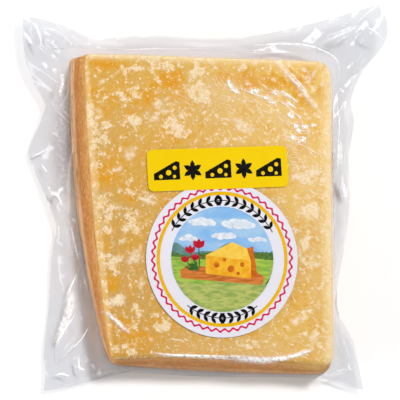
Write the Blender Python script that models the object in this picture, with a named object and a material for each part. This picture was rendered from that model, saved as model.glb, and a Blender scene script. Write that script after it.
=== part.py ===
"""Chunk of parmesan sealed in a clear vacuum bag, lying on its back with its two stickers up.

Run with: blender --background --python part.py

The bag is one solid out to its film, because the film clings to the cheese: a thick block in the
middle, and round it the thin margin where the two films lie on each other. The stickers are thin
plates that follow the face they are stuck to.

Metres, +Z up. The origin is under the middle of the pack, on the surface it rests on.
Corners, sides and edges are counted anticlockwise from above, from the corner at low X and low Y:
side 0 is the front, 1 the right, 2 the back and 3 the left. A place round the pack is one number,
such as 2.25, which is a quarter of the way along side 2.
"""

import math

import bmesh
import bpy
from mathutils import Vector

MM = 0.001
SIDES = 4

# The chunk of cheese: a flat slab, with its rind side on the left.
CHUNK_HEIGHT = 24 * MM
EDGE_ROUNDING = 1.5 * MM
TOP_CORNERS = (
    (-40.6 * MM, -64.7 * MM),
    (46.1 * MM, -64.4 * MM),
    (46.1 * MM, 51.4 * MM),
    (-51.2 * MM, 51.4 * MM),
)
TOP_CORNER_CUTS = (3 * MM, 7 * MM, 7 * MM, 4 * MM)
TOP_BULGES = (-0.6 * MM, 0.2 * MM, 0.3 * MM, 2.2 * MM)
BASE_CORNERS = (
    (-37.0 * MM, -65.9 * MM),
    (50.0 * MM, -68.4 * MM),
    (47.0 * MM, 52.1 * MM),
    (-52.3 * MM, 52.1 * MM),
)
BASE_CORNER_CUTS = (6 * MM, 11 * MM, 8 * MM, 6 * MM)
BASE_BULGES = (1.8 * MM, 0.3 * MM, 0.4 * MM, 4.4 * MM)

# The bag's margin: two films pressed together, and the four tips that its corners run out to.
FILM_PLY = 1.2 * MM
FLOOR_GAP = 0.3 * MM
TIPS = (
    (-62.4 * MM, -75.9 * MM),
    (63.9 * MM, -75.3 * MM),
    (69.9 * MM, 75.9 * MM),
    (-72.2 * MM, 66.8 * MM),
)
# Each edge of the bag, from tip to tip: (share of the way, distance outside the straight line, height).
EDGES = (
    (
        (0.0, 0.0, 4 * MM),
        (0.085, -1.7 * MM, 3 * MM),
        (0.155, -4.1 * MM, 2 * MM),
        (0.22, -6.9 * MM, 1.6 * MM),
        (0.5, -5.4 * MM, 1.3 * MM),
        (0.87, -4.4 * MM, 1.6 * MM),
        (0.97, -0.7 * MM, 4 * MM),
        (1.0, 0.0, 5 * MM),
    ),
    (
        (0.0, 0.0, 5 * MM),
        (0.065, -2.0 * MM, 4 * MM),
        (0.13, -4.5 * MM, 3 * MM),
        (0.205, -12.3 * MM, 5 * MM),
        (0.25, -12.2 * MM, 5.5 * MM),
        (0.35, -10.3 * MM, 6 * MM),
        (0.46, -8.1 * MM, 5 * MM),
        (0.61, -8.9 * MM, 5 * MM),
        (0.69, -7.6 * MM, 6 * MM),
        (0.745, -9.9 * MM, 8 * MM),
        (0.82, -6.0 * MM, 9 * MM),
        (0.89, 1.3 * MM, 11 * MM),
        (0.93, 3.0 * MM, 12 * MM),
        (1.0, 0.0, 13 * MM),
    ),
    (
        (0.0, 0.0, 13 * MM),
        (0.07, -2.6 * MM, 12 * MM),
        (0.215, -7.2 * MM, 9 * MM),
        (0.36, -10.5 * MM, 8 * MM),
        (0.5, -11.2 * MM, 8 * MM),
        (0.645, -9.3 * MM, 8 * MM),
        (0.75, -9.7 * MM, 8 * MM),
        (0.81, -10.0 * MM, 7 * MM),
        (0.86, -6.3 * MM, 7 * MM),
        (0.925, -2.8 * MM, 8 * MM),
        (1.0, 0.0, 9 * MM),
    ),
    (
        (0.0, 0.0, 9 * MM),
        (0.03, 0.6 * MM, 9 * MM),
        (0.115, -0.1 * MM, 8 * MM),
        (0.17, -2.3 * MM, 7 * MM),
        (0.24, -7.0 * MM, 5 * MM),
        (0.275, -5.6 * MM, 5 * MM),
        (0.365, 0.2 * MM, 3 * MM),
        (0.405, -1.3 * MM, 3 * MM),
        (0.53, -7.2 * MM, 5 * MM),
        (0.575, -8.6 * MM, 5 * MM),
        (0.63, -6.5 * MM, 4 * MM),
        (0.775, -4.1 * MM, 2.5 * MM),
        (0.91, -0.8 * MM, 3 * MM),
        (0.945, -1.1 * MM, 3.5 * MM),
        (1.0, 0.0, 4 * MM),
    ),
)

# Where the margin springs from the block: (share of the side, height, distance out from the block).
# Above it the film hangs as a hollow curve from the block's upper edge, and below it tucks back under.
ROOTS = (
    ((0.0, 7 * MM, 5 * MM), (0.12, 3 * MM, 1.2 * MM), (0.88, 3 * MM, 1.2 * MM), (1.0, 7 * MM, 6 * MM)),
    ((0.0, 7 * MM, 6 * MM), (0.15, 9.5 * MM, 2.5 * MM), (0.8, 11 * MM, 3 * MM), (1.0, 12 * MM, 9 * MM)),
    ((0.0, 12 * MM, 9 * MM), (0.2, 11.5 * MM, 4 * MM), (0.8, 11 * MM, 3.5 * MM), (1.0, 11 * MM, 6 * MM)),
    ((0.0, 11 * MM, 6 * MM), (0.15, 10 * MM, 1.8 * MM), (0.85, 8 * MM, 1.8 * MM), (1.0, 7 * MM, 5 * MM)),
)
TENT_HOLLOW = 2.2
TENT_LIMIT = 0.6
TUCK_HEIGHT = 0.4
TUCK_REACH = 0.35
HEEL_HEIGHT = 0.2

# Folds that run out from the block across the margin: (place round the pack, half width, height).
# They are highest half way across, and die away at the block and at the rim.
FOLD_FULLNESS = 0.6
FOLDS = (
    (0.03, 0.035, 1.4 * MM),
    (0.10, 0.04, 0.7 * MM),
    (0.96, 0.04, 1.2 * MM),
    (1.03, 0.03, 1.0 * MM),
    (1.12, 0.04, -1.0 * MM),
    (1.21, 0.05, 2.2 * MM),
    (1.40, 0.06, -1.0 * MM),
    (1.745, 0.05, 1.8 * MM),
    (1.88, 0.04, -1.2 * MM),
    (1.96, 0.03, 1.6 * MM),
    (2.03, 0.03, 1.8 * MM),
    (2.12, 0.05, -0.8 * MM),
    (2.30, 0.08, 0.8 * MM),
    (2.80, 0.05, 1.8 * MM),
    (2.90, 0.03, -1.2 * MM),
    (2.97, 0.03, 1.6 * MM),
    (3.04, 0.03, -1.2 * MM),
    (3.12, 0.04, 1.2 * MM),
    (3.25, 0.05, 2.2 * MM),
    (3.37, 0.05, -1.0 * MM),
    (3.57, 0.05, 2.2 * MM),
    (3.75, 0.06, -1.0 * MM),
    (3.88, 0.04, 1.0 * MM),
    (3.965, 0.03, -1.2 * MM),
)

# Dips and swells of the cut face: (height, length of a wave along X, along Y, shift). The waves of
# the second set slant the other way.
FACE_WAVES = ((0.16 * MM, 61 * MM, 87 * MM, 0.4), (0.11 * MM, -38 * MM, 49 * MM, 1.9))

# The stickers.
STICKER_PLY = 0.4 * MM
STICKER_GAP = 0.3 * MM
ROUND_CENTRE = (2.1 * MM, -26.1 * MM)
ROUND_RADIUS = 29.7 * MM
NAME_CENTRE = (0.5 * MM, 8.4 * MM)
NAME_SIZE = (55.2 * MM, 15.8 * MM)
NAME_CORNER = 2.4 * MM
NAME_TURN = math.radians(3.2)
LAP_RAMP = 2.5 * MM

# How finely the shapes are divided. Rings are shares of the way from the middle to the rim.
EDGE_ARC = (0.0, math.pi / 4, math.pi / 2)
CORNER_SHARES = (0.0, 0.012, 0.026, 0.044, 0.066)
MIDDLE_STEPS = 21
FACE_RINGS = (0.25, 0.5, 0.75, 0.92)
TENT_RINGS = (0.25, 0.55, 1.0)
MARGIN_RINGS = (0.22, 0.48, 0.74, 1.0)
BASE_RING = 0.5
DISC_STEPS = 72
DISC_RINGS = (0.3, 0.55, 0.8, 1.0)
NAME_COLUMNS = 30
NAME_ROWS = 12
NAME_END_ROWS = (0.0, 0.15, 0.5, 1.0)
SHARP_ANGLE = math.radians(40)

CHEESE_COLOUR = (0.80, 0.52, 0.17, 1.0)
FILM_COLOUR = (0.80, 0.80, 0.83, 1.0)
NAME_COLOUR = (0.93, 0.64, 0.01, 1.0)
PAPER_COLOUR = (0.86, 0.85, 0.90, 1.0)


def remove_all_objects():
    """Empties the scene."""
    for thing in list(bpy.data.objects):
        bpy.data.objects.remove(thing)


def material(name, colour, roughness):
    """A plain non-metallic surface."""
    made = bpy.data.materials.new(name)
    made.use_nodes = True
    shader = made.node_tree.nodes["Principled BSDF"]
    shader.inputs["Base Color"].default_value = colour
    shader.inputs["Roughness"].default_value = roughness
    shader.inputs["Metallic"].default_value = 0.0
    made.diffuse_color = colour
    return made


def smooth_step(share):
    """0 to 1 with level ends."""
    share = min(1.0, max(0.0, share))
    return share * share * (3.0 - 2.0 * share)


def through(stations, share):
    """The values of a smooth curve through (share, value, ...) stations, at this share of the way."""
    last = len(stations) - 1
    index = max(i for i in range(last) if stations[i][0] <= share or i == 0)
    before, after = stations[index], stations[index + 1]
    span = after[0] - before[0]
    step = (share - before[0]) / span

    def slope(i, k):
        low, high = stations[max(i - 1, 0)], stations[min(i + 1, last)]
        return (high[k] - low[k]) / (high[0] - low[0])

    values = []
    for k in range(1, len(before)):
        start, end = before[k], after[k]
        leave, arrive = slope(index, k) * span, slope(index + 1, k) * span
        square, cube = step * step, step * step * step
        values.append(
            (2 * cube - 3 * square + 1) * start
            + (cube - 2 * square + step) * leave
            + (3 * square - 2 * cube) * end
            + (cube - square) * arrive
        )
    return values


def split_place(place):
    """The side and the share of it that a place round the pack lies at."""
    place %= SIDES
    side = int(place)
    return side, place - side


def chord_point(corners, side, share, outside):
    """A point beside the straight line from one corner to the next, this far outside it."""
    start, end = Vector(corners[side]), Vector(corners[(side + 1) % SIDES])
    along = (end - start).normalized()
    return start.lerp(end, share) + outside * Vector((along.y, -along.x))


def slab_point(corners, cuts, bulges, place):
    """A point on the outline of a slab with bowed sides and rounded corners."""
    side, share = split_place(place)
    corner = side if share < 0.5 else (side + 1) % SIDES
    before = (corner - 1) % SIDES
    length = (Vector(corners[(side + 1) % SIDES]) - Vector(corners[side])).length
    cut_share = cuts[corner] / length
    near = share if share < 0.5 else 1.0 - share

    def on_side(side, share):
        return chord_point(corners, side, share, bulges[side] * 4.0 * share * (1.0 - share))

    if near >= cut_share:
        return on_side(side, share)
    first = on_side(before, 1.0 - cut_share)
    last = on_side(corner, cut_share)
    middle = Vector(corners[corner])
    turn = 0.5 + (0.5 if share < 0.5 else -0.5) * near / cut_share
    return first.lerp(middle, turn).lerp(middle.lerp(last, turn), turn)


def face_height(x, y):
    """Height of the chunk's upper face."""
    height = CHUNK_HEIGHT
    for size, long_x, long_y, shift in FACE_WAVES:
        height += size * math.sin(math.tau * (x / long_x + y / long_y) + shift)
    return height


def fold_height(place):
    """How far the folds lift the margin here, half way across it."""
    lift = 0.0
    for at, half_width, height in FOLDS:
        away = abs((place - at + SIDES / 2) % SIDES - SIDES / 2)
        lift += height * max(0.0, 1.0 - away / half_width)
    return lift


def at_height(point, height):
    """A flat point lifted to a height."""
    return Vector((point.x, point.y, height))


def section(place):
    """The pack's section at a place round it: points from near the middle of its face, out over
    the edge and down to the rim, and back underneath to near the middle of its base."""
    side, share = split_place(place)
    top = slab_point(TOP_CORNERS, TOP_CORNER_CUTS, TOP_BULGES, place)
    base = slab_point(BASE_CORNERS, BASE_CORNER_CUTS, BASE_BULGES, place)
    outside, rim_height = through(EDGES[side], share)
    rim = chord_point(TIPS, side, share, outside)
    root_height, reach = through(ROOTS[side], share)
    outwards = (rim - top).normalized()

    def wall(height):
        """Where the side of the chunk is at this height."""
        return top.lerp(base, (CHUNK_HEIGHT - height) / CHUNK_HEIGHT)

    reach = min(reach, TENT_LIMIT * (rim - wall(root_height)).length)
    root = wall(root_height) + reach * outwards

    upper = [at_height(top * ring, face_height(top.x * ring, top.y * ring)) for ring in FACE_RINGS]
    shoulder = face_height(top.x, top.y) - EDGE_ROUNDING
    for angle in EDGE_ARC:
        edge = top - EDGE_ROUNDING * (1.0 - math.sin(angle)) * outwards
        upper.append(at_height(edge, shoulder + EDGE_ROUNDING * math.cos(angle)))
    for ring in TENT_RINGS:
        height = shoulder + (root_height + FILM_PLY / 2 - shoulder) * ring
        upper.append(at_height(wall(height) + reach * ring**TENT_HOLLOW * outwards, height))

    lower = []
    for ring in MARGIN_RINGS:
        flat = root.lerp(rim, ring)
        lift = fold_height(place) * math.sin(math.pi * ring) ** FOLD_FULLNESS if ring < 1.0 else 0.0
        height = root_height + (rim_height - root_height) * smooth_step(ring) + lift
        height = max(height, FLOOR_GAP + FILM_PLY / 2)
        upper.append(at_height(flat, height + FILM_PLY / 2))
        lower.append(at_height(flat, height - FILM_PLY / 2))
    lower.reverse()
    lower.append(at_height(root, root_height - FILM_PLY / 2))
    tuck_height = TUCK_HEIGHT * root_height
    lower.append(at_height(wall(tuck_height) + TUCK_REACH * reach * outwards, tuck_height))
    lower.append(at_height(base, min(EDGE_ROUNDING, HEEL_HEIGHT * root_height)))
    lower.append(at_height(base - EDGE_ROUNDING * outwards, 0.0))
    lower.append(at_height(BASE_RING * base, 0.0))
    return upper, lower


def places_round():
    """Places round the pack, closer together at its corners."""
    first = CORNER_SHARES[-1]
    middle = [first + (1.0 - 2.0 * first) * step / MIDDLE_STEPS for step in range(1, MIDDLE_STEPS)]
    shares = list(CORNER_SHARES) + middle + [1.0 - share for share in reversed(CORNER_SHARES[1:])]
    return [side + share for side in range(SIDES) for share in shares]


def join_rings(shape, rings):
    """Faces between rings of points, all as long as each other. Returns the faces of each gap."""
    gaps = []
    for inner, outer in zip(rings, rings[1:]):
        count = len(inner)
        gap = []
        for i in range(count):
            j = (i + 1) % count
            gap.append(shape.faces.new((inner[i], outer[i], outer[j], inner[j])))
        gaps.append(gap)
    return gaps


def close_ring(shape, ring, middle):
    """A fan of faces from a ring to a point in its middle."""
    centre = shape.verts.new(middle)
    count = len(ring)
    return [shape.faces.new((centre, ring[i], ring[(i + 1) % count])) for i in range(count)]


def new_object(name, shape, materials):
    """Turns a closed shape into a named object, shaded smooth except at sharp edges."""
    bmesh.ops.recalc_face_normals(shape, faces=shape.faces)
    mesh = bpy.data.meshes.new(name)
    shape.to_mesh(mesh)
    shape.free()
    for one in materials:
        mesh.materials.append(one)
    mesh.shade_smooth()
    mesh.set_sharp_from_angle(angle=SHARP_ANGLE)
    made = bpy.data.objects.new(name, mesh)
    bpy.context.scene.collection.objects.link(made)
    return made


def make_bag():
    """The sealed bag with the cheese in it: one solid, out to the film."""
    shape = bmesh.new()
    sections = [upper + lower for upper, lower in map(section, places_round())]
    rings = [[shape.verts.new(point) for point in ring] for ring in zip(*sections)]
    gaps = join_rings(shape, rings)
    close_ring(shape, rings[0], (0.0, 0.0, face_height(0.0, 0.0)))
    close_ring(shape, rings[-1], (0.0, 0.0, 0.0))
    block_gaps = len(FACE_RINGS) + len(EDGE_ARC) + len(TENT_RINGS) - 1
    margin_gaps = 2 * len(MARGIN_RINGS) + 1
    for gap in gaps[block_gaps : block_gaps + margin_gaps]:
        for face in gap:
            face.material_index = 1
    surfaces = (material("Cheese under film", CHEESE_COLOUR, 0.35), material("Clear film", FILM_COLOUR, 0.15))
    return new_object("bag", shape, surfaces)


def round_sticker_underside(x, y):
    """Height of the round sticker's back."""
    return face_height(x, y) + STICKER_GAP


def name_sticker_underside(x, y):
    """Height of the name sticker's back, which steps up where it laps over the round sticker."""
    away = math.hypot(x - ROUND_CENTRE[0], y - ROUND_CENTRE[1]) - ROUND_RADIUS
    step = smooth_step(1.0 - away / LAP_RAMP)
    return face_height(x, y) + STICKER_GAP + step * (STICKER_PLY + STICKER_GAP)


def make_round_sticker():
    """The round sticker: a thin disc that follows the face under it."""
    shape = bmesh.new()

    def ring_points(share, lift):
        points = []
        for step in range(DISC_STEPS):
            angle = math.tau * step / DISC_STEPS
            x = ROUND_CENTRE[0] + share * ROUND_RADIUS * math.cos(angle)
            y = ROUND_CENTRE[1] + share * ROUND_RADIUS * math.sin(angle)
            points.append(shape.verts.new((x, y, round_sticker_underside(x, y) + lift)))
        return points

    upper = [ring_points(share, STICKER_PLY) for share in DISC_RINGS]
    lower = [ring_points(share, 0.0) for share in reversed(DISC_RINGS)]
    join_rings(shape, upper + lower)
    middle = round_sticker_underside(*ROUND_CENTRE)
    close_ring(shape, upper[0], (*ROUND_CENTRE, middle + STICKER_PLY))
    close_ring(shape, lower[-1], (*ROUND_CENTRE, middle))
    return new_object("round_label", shape, [material("White paper", PAPER_COLOUR, 0.4)])


def rounded_inset(along):
    """How far the name sticker's end is cut back, this far in from its long edge."""
    if along >= NAME_CORNER:
        return 0.0
    return NAME_CORNER - math.sqrt(NAME_CORNER**2 - (NAME_CORNER - along) ** 2)


def make_name_sticker():
    """The name sticker: a thin plate with rounded corners, turned a little, lapped over the round one."""
    shape = bmesh.new()
    length, width = NAME_SIZE
    turn = (math.cos(NAME_TURN), math.sin(NAME_TURN))
    end_rows = [NAME_CORNER * share for share in NAME_END_ROWS]
    straight = width - 2 * NAME_CORNER
    middle_rows = [NAME_CORNER + straight * step / NAME_ROWS for step in range(1, NAME_ROWS)]
    rows = end_rows + middle_rows + [width - row for row in reversed(end_rows)]

    def sheet(lift):
        points = []
        for row in rows:
            inset = rounded_inset(min(row, width - row))
            line = []
            for column in range(NAME_COLUMNS + 1):
                u = (length / 2 - inset) * (2.0 * column / NAME_COLUMNS - 1.0)
                v = row - width / 2
                x = NAME_CENTRE[0] + u * turn[0] - v * turn[1]
                y = NAME_CENTRE[1] + u * turn[1] + v * turn[0]
                line.append(shape.verts.new((x, y, name_sticker_underside(x, y) + lift)))
            points.append(line)
        return points

    def cover(points):
        for low, high in zip(points, points[1:]):
            for i in range(NAME_COLUMNS):
                shape.faces.new((low[i], low[i + 1], high[i + 1], high[i]))

    def border(points):
        left = [line[0] for line in points[1:-1]]
        right = [line[-1] for line in points[1:-1]]
        return points[0] + right + points[-1][::-1] + left[::-1]

    upper, lower = sheet(STICKER_PLY), sheet(0.0)
    cover(upper)
    cover(lower)
    join_rings(shape, [border(upper), border(lower)])
    return new_object("name_label", shape, [material("Yellow paper", NAME_COLOUR, 0.4)])


def main():
    """Builds the pack, its pieces parented to one empty under its middle."""
    remove_all_objects()
    pack = bpy.data.objects.new("pack", None)
    bpy.context.scene.collection.objects.link(pack)
    for piece in (make_bag(), make_round_sticker(), make_name_sticker()):
        piece.parent = pack


main()
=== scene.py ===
"""Looks of a chunk of parmesan sealed in a clear vacuum bag, lying on its back with two stickers up.

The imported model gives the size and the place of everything. The bag's solid is replaced by a thin
closed envelope of creased clear film with the cheese inside it, and the two stickers by printed paper.

Sides and corners are counted anticlockwise from above, from the corner at low X and low Y: side 0 is
the front, 1 the right, 2 the back and 3 the left. A place round the pack is one number, such as 2.25,
a quarter of the way along side 2. Lengths are in metres, apart from names that end in _mm, the outlines
of printed shapes, and the stickers' own sizes, which are in millimetres.
"""

from __future__ import annotations

import logging
import math
import random
from collections.abc import Callable, Sequence
from dataclasses import dataclass
from enum import Enum

import bmesh
import bpy
import numpy as np
from mathutils import Matrix, Vector, geometry, noise

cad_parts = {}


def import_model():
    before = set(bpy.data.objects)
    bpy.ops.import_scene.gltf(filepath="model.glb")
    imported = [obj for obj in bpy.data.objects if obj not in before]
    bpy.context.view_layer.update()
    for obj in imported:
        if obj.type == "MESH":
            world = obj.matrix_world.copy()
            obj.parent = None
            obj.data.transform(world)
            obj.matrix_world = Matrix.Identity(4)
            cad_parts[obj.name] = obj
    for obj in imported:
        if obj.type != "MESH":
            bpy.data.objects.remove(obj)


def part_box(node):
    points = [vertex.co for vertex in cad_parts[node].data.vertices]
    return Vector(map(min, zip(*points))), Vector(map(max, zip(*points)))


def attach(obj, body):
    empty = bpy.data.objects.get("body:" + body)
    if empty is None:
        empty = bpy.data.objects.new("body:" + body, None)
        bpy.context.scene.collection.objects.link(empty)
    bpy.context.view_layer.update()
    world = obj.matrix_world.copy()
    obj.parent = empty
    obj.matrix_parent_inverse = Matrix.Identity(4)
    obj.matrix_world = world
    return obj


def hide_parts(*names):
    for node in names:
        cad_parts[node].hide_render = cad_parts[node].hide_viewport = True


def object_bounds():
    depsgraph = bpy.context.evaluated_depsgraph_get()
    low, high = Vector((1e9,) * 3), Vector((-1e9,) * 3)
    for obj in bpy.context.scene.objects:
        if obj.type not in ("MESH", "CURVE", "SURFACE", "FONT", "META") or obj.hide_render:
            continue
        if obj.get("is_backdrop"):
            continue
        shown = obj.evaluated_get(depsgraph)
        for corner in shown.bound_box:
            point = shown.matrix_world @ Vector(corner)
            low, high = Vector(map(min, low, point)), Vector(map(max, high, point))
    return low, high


MM = 0.001
SIDES = 4
BODY = "root"

log = logging.getLogger("parmesan")

Point = tuple[float, float]
Raised = tuple[float, float, float]
Outline = Sequence[Point]
Station = tuple[float, ...]
Colour = tuple[float, float, float]
Piece = bpy.types.Object
Socket = bpy.types.NodeSocket
Dressed = list[tuple[Piece, str]]


# Working by hand: primitives, cuts and modifiers


class Bench:
    """Blender's own modelling operators, used on one object at a time."""

    @staticmethod
    def clear() -> None:
        """Leaves edit mode and deselects everything."""
        if bpy.context.object and bpy.context.object.mode != "OBJECT":
            bpy.ops.object.mode_set(mode="OBJECT")
        bpy.ops.object.select_all(action="DESELECT")

    @staticmethod
    def take_up(piece: Piece) -> None:
        """Makes a piece the only selected one, and the active one."""
        Bench.clear()
        piece.select_set(True)
        bpy.context.view_layer.objects.active = piece

    @staticmethod
    def named(name: str) -> Piece:
        """Names the primitive that was just added, and its mesh.

        Args:
            name: Its new name.

        Returns:
            The primitive.
        """
        piece = bpy.context.object
        piece.name = name
        piece.data.name = name
        return piece

    @staticmethod
    def points(piece: Piece) -> np.ndarray:
        """The piece's points, one row each."""
        found = np.empty(len(piece.data.vertices) * 3)
        piece.data.vertices.foreach_get("co", found)
        return found.reshape(-1, 3)

    @staticmethod
    def put_points(piece: Piece, points: np.ndarray) -> None:
        """Moves the piece's points."""
        piece.data.vertices.foreach_set("co", np.ascontiguousarray(points, dtype=np.float32).ravel())
        piece.data.update()

    @staticmethod
    def put_attribute(piece: Piece, name: str, values: np.ndarray) -> None:
        """Gives each point of the piece a number, for its finish to read."""
        attribute = piece.data.attributes.new(name, "FLOAT", "POINT")
        attribute.data.foreach_set("value", np.ascontiguousarray(values, dtype=np.float32))

    @staticmethod
    def cut_box(name: str, cuts: Sequence[Sequence[int]]) -> Piece:
        """A closed box, two across each way, with every side cut into a grid.

        Args:
            name: The new object's name.
            cuts: For X, Y and Z, the numbers of parts it is cut into, one cutting after another.

        Returns:
            The box, centred on the origin.
        """
        Bench.clear()
        bpy.ops.mesh.primitive_cube_add(size=2)
        box = Bench.named(name)
        bpy.ops.object.mode_set(mode="EDIT")
        bpy.ops.mesh.select_mode(type="EDGE")
        for axis, rounds in enumerate(cuts):
            for parts in rounds:
                Bench.select_edges_along(box, axis)
                bpy.ops.mesh.subdivide(number_cuts=parts - 1)
        bpy.ops.object.mode_set(mode="OBJECT")
        return box

    @staticmethod
    def select_edges_along(piece: Piece, axis: int) -> None:
        """Selects just the edges that run along one axis, in edit mode.

        Args:
            piece: The piece, in edit mode.
            axis: 0 for X, 1 for Y and 2 for Z.
        """
        shape = bmesh.from_edit_mesh(piece.data)
        for edge in shape.edges:
            run = edge.verts[0].co - edge.verts[1].co
            edge.select_set(abs(run[axis]) > 0.999 * run.length)
        shape.select_flush_mode()
        bmesh.update_edit_mesh(piece.data)

    @staticmethod
    def flat_shape(name: str, outline: Outline) -> Piece:
        """Makes a flat face at the height of the origin.

        Args:
            name: The new object's name.
            outline: Its outline, anticlockwise.

        Returns:
            The face.
        """
        Bench.clear()
        bpy.ops.mesh.primitive_circle_add(vertices=len(outline), radius=1.0, fill_type="NGON")
        shape = Bench.named(name)
        Bench.put_points(shape, np.array([(x, y, 0.0) for x, y in outline]))
        return shape

    @staticmethod
    def flat_band(name: str, inner: Outline, outer: Outline) -> Piece:
        """Makes a flat band at the height of the origin, between two closed lines of as many points.

        Args:
            name: The new object's name.
            inner: The inner line.
            outer: The outer line.

        Returns:
            The band.
        """
        Bench.clear()
        count = len(inner)
        bpy.ops.mesh.primitive_circle_add(vertices=count, radius=1.0, fill_type="NOTHING")
        band = Bench.named(name)
        bpy.ops.object.mode_set(mode="EDIT")
        bpy.ops.mesh.select_all(action="SELECT")
        bpy.ops.mesh.extrude_edges_move()
        bpy.ops.object.mode_set(mode="OBJECT")
        Bench.put_points(band, np.array([(x, y, 0.0) for x, y in (*inner, *outer)]))
        Bench.face_up(band)
        return band

    @staticmethod
    def face_up(piece: Piece) -> None:
        """Turns a flat piece's faces to look up.

        Args:
            piece: The piece.
        """
        Bench.take_up(piece)
        bpy.ops.object.mode_set(mode="EDIT")
        bpy.ops.mesh.select_all(action="SELECT")
        bpy.ops.mesh.normals_make_consistent(inside=False)
        bpy.ops.object.mode_set(mode="OBJECT")
        if sum(polygon.normal.z * polygon.area for polygon in piece.data.polygons) < 0.0:
            piece.data.flip_normals()

    @staticmethod
    def dice(piece: Piece, pitch: float) -> None:
        """Cuts a flat piece into squares, so that it can follow a curved face.

        Args:
            piece: The piece.
            pitch: The squares' size.
        """
        Bench.take_up(piece)
        points = Bench.points(piece)
        low, high = points.min(axis=0), points.max(axis=0)
        bpy.ops.object.mode_set(mode="EDIT")
        for axis in range(2):
            normal = [0.0, 0.0, 0.0]
            normal[axis] = 1.0
            for step in range(math.ceil(low[axis] / pitch), math.floor(high[axis] / pitch) + 1):
                place = [0.0, 0.0, 0.0]
                place[axis] = step * pitch
                bpy.ops.mesh.select_all(action="SELECT")
                bpy.ops.mesh.bisect(plane_co=place, plane_no=normal)
        bpy.ops.object.mode_set(mode="OBJECT")

    @staticmethod
    def lay(piece: Piece, height: Callable[[float, float], float]) -> None:
        """Lifts each point of a flat piece to the height of what it lies on."""
        points = Bench.points(piece)
        points[:, 2] += [height(x, y) for x, y in points[:, :2]]
        Bench.put_points(piece, points)

    @staticmethod
    def thicken(piece: Piece, thickness: float) -> None:
        """Gives a sheet a thickness, downwards from its upper face.

        Args:
            piece: The sheet.
            thickness: Its thickness.
        """
        Bench.take_up(piece)
        wall = piece.modifiers.new("Thickness", "SOLIDIFY")
        wall.thickness = thickness
        wall.offset = -1.0
        bpy.ops.object.modifier_apply(modifier=wall.name)

    @staticmethod
    def shade(piece: Piece, degrees: float) -> None:
        """Shades a piece smooth, apart from edges sharper than this."""
        Bench.take_up(piece)
        bpy.ops.object.shade_smooth_by_angle(angle=math.radians(degrees))

    @staticmethod
    def join(name: str, pieces: Sequence[Piece]) -> Piece:
        """Joins pieces into one, which keeps all their finishes.

        Args:
            name: The joined piece's name.
            pieces: The pieces.

        Returns:
            The joined piece.
        """
        Bench.clear()
        for piece in pieces:
            piece.select_set(True)
        bpy.context.view_layer.objects.active = pieces[0]
        bpy.ops.object.join()
        return Bench.named(name)


# Finishes


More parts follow.
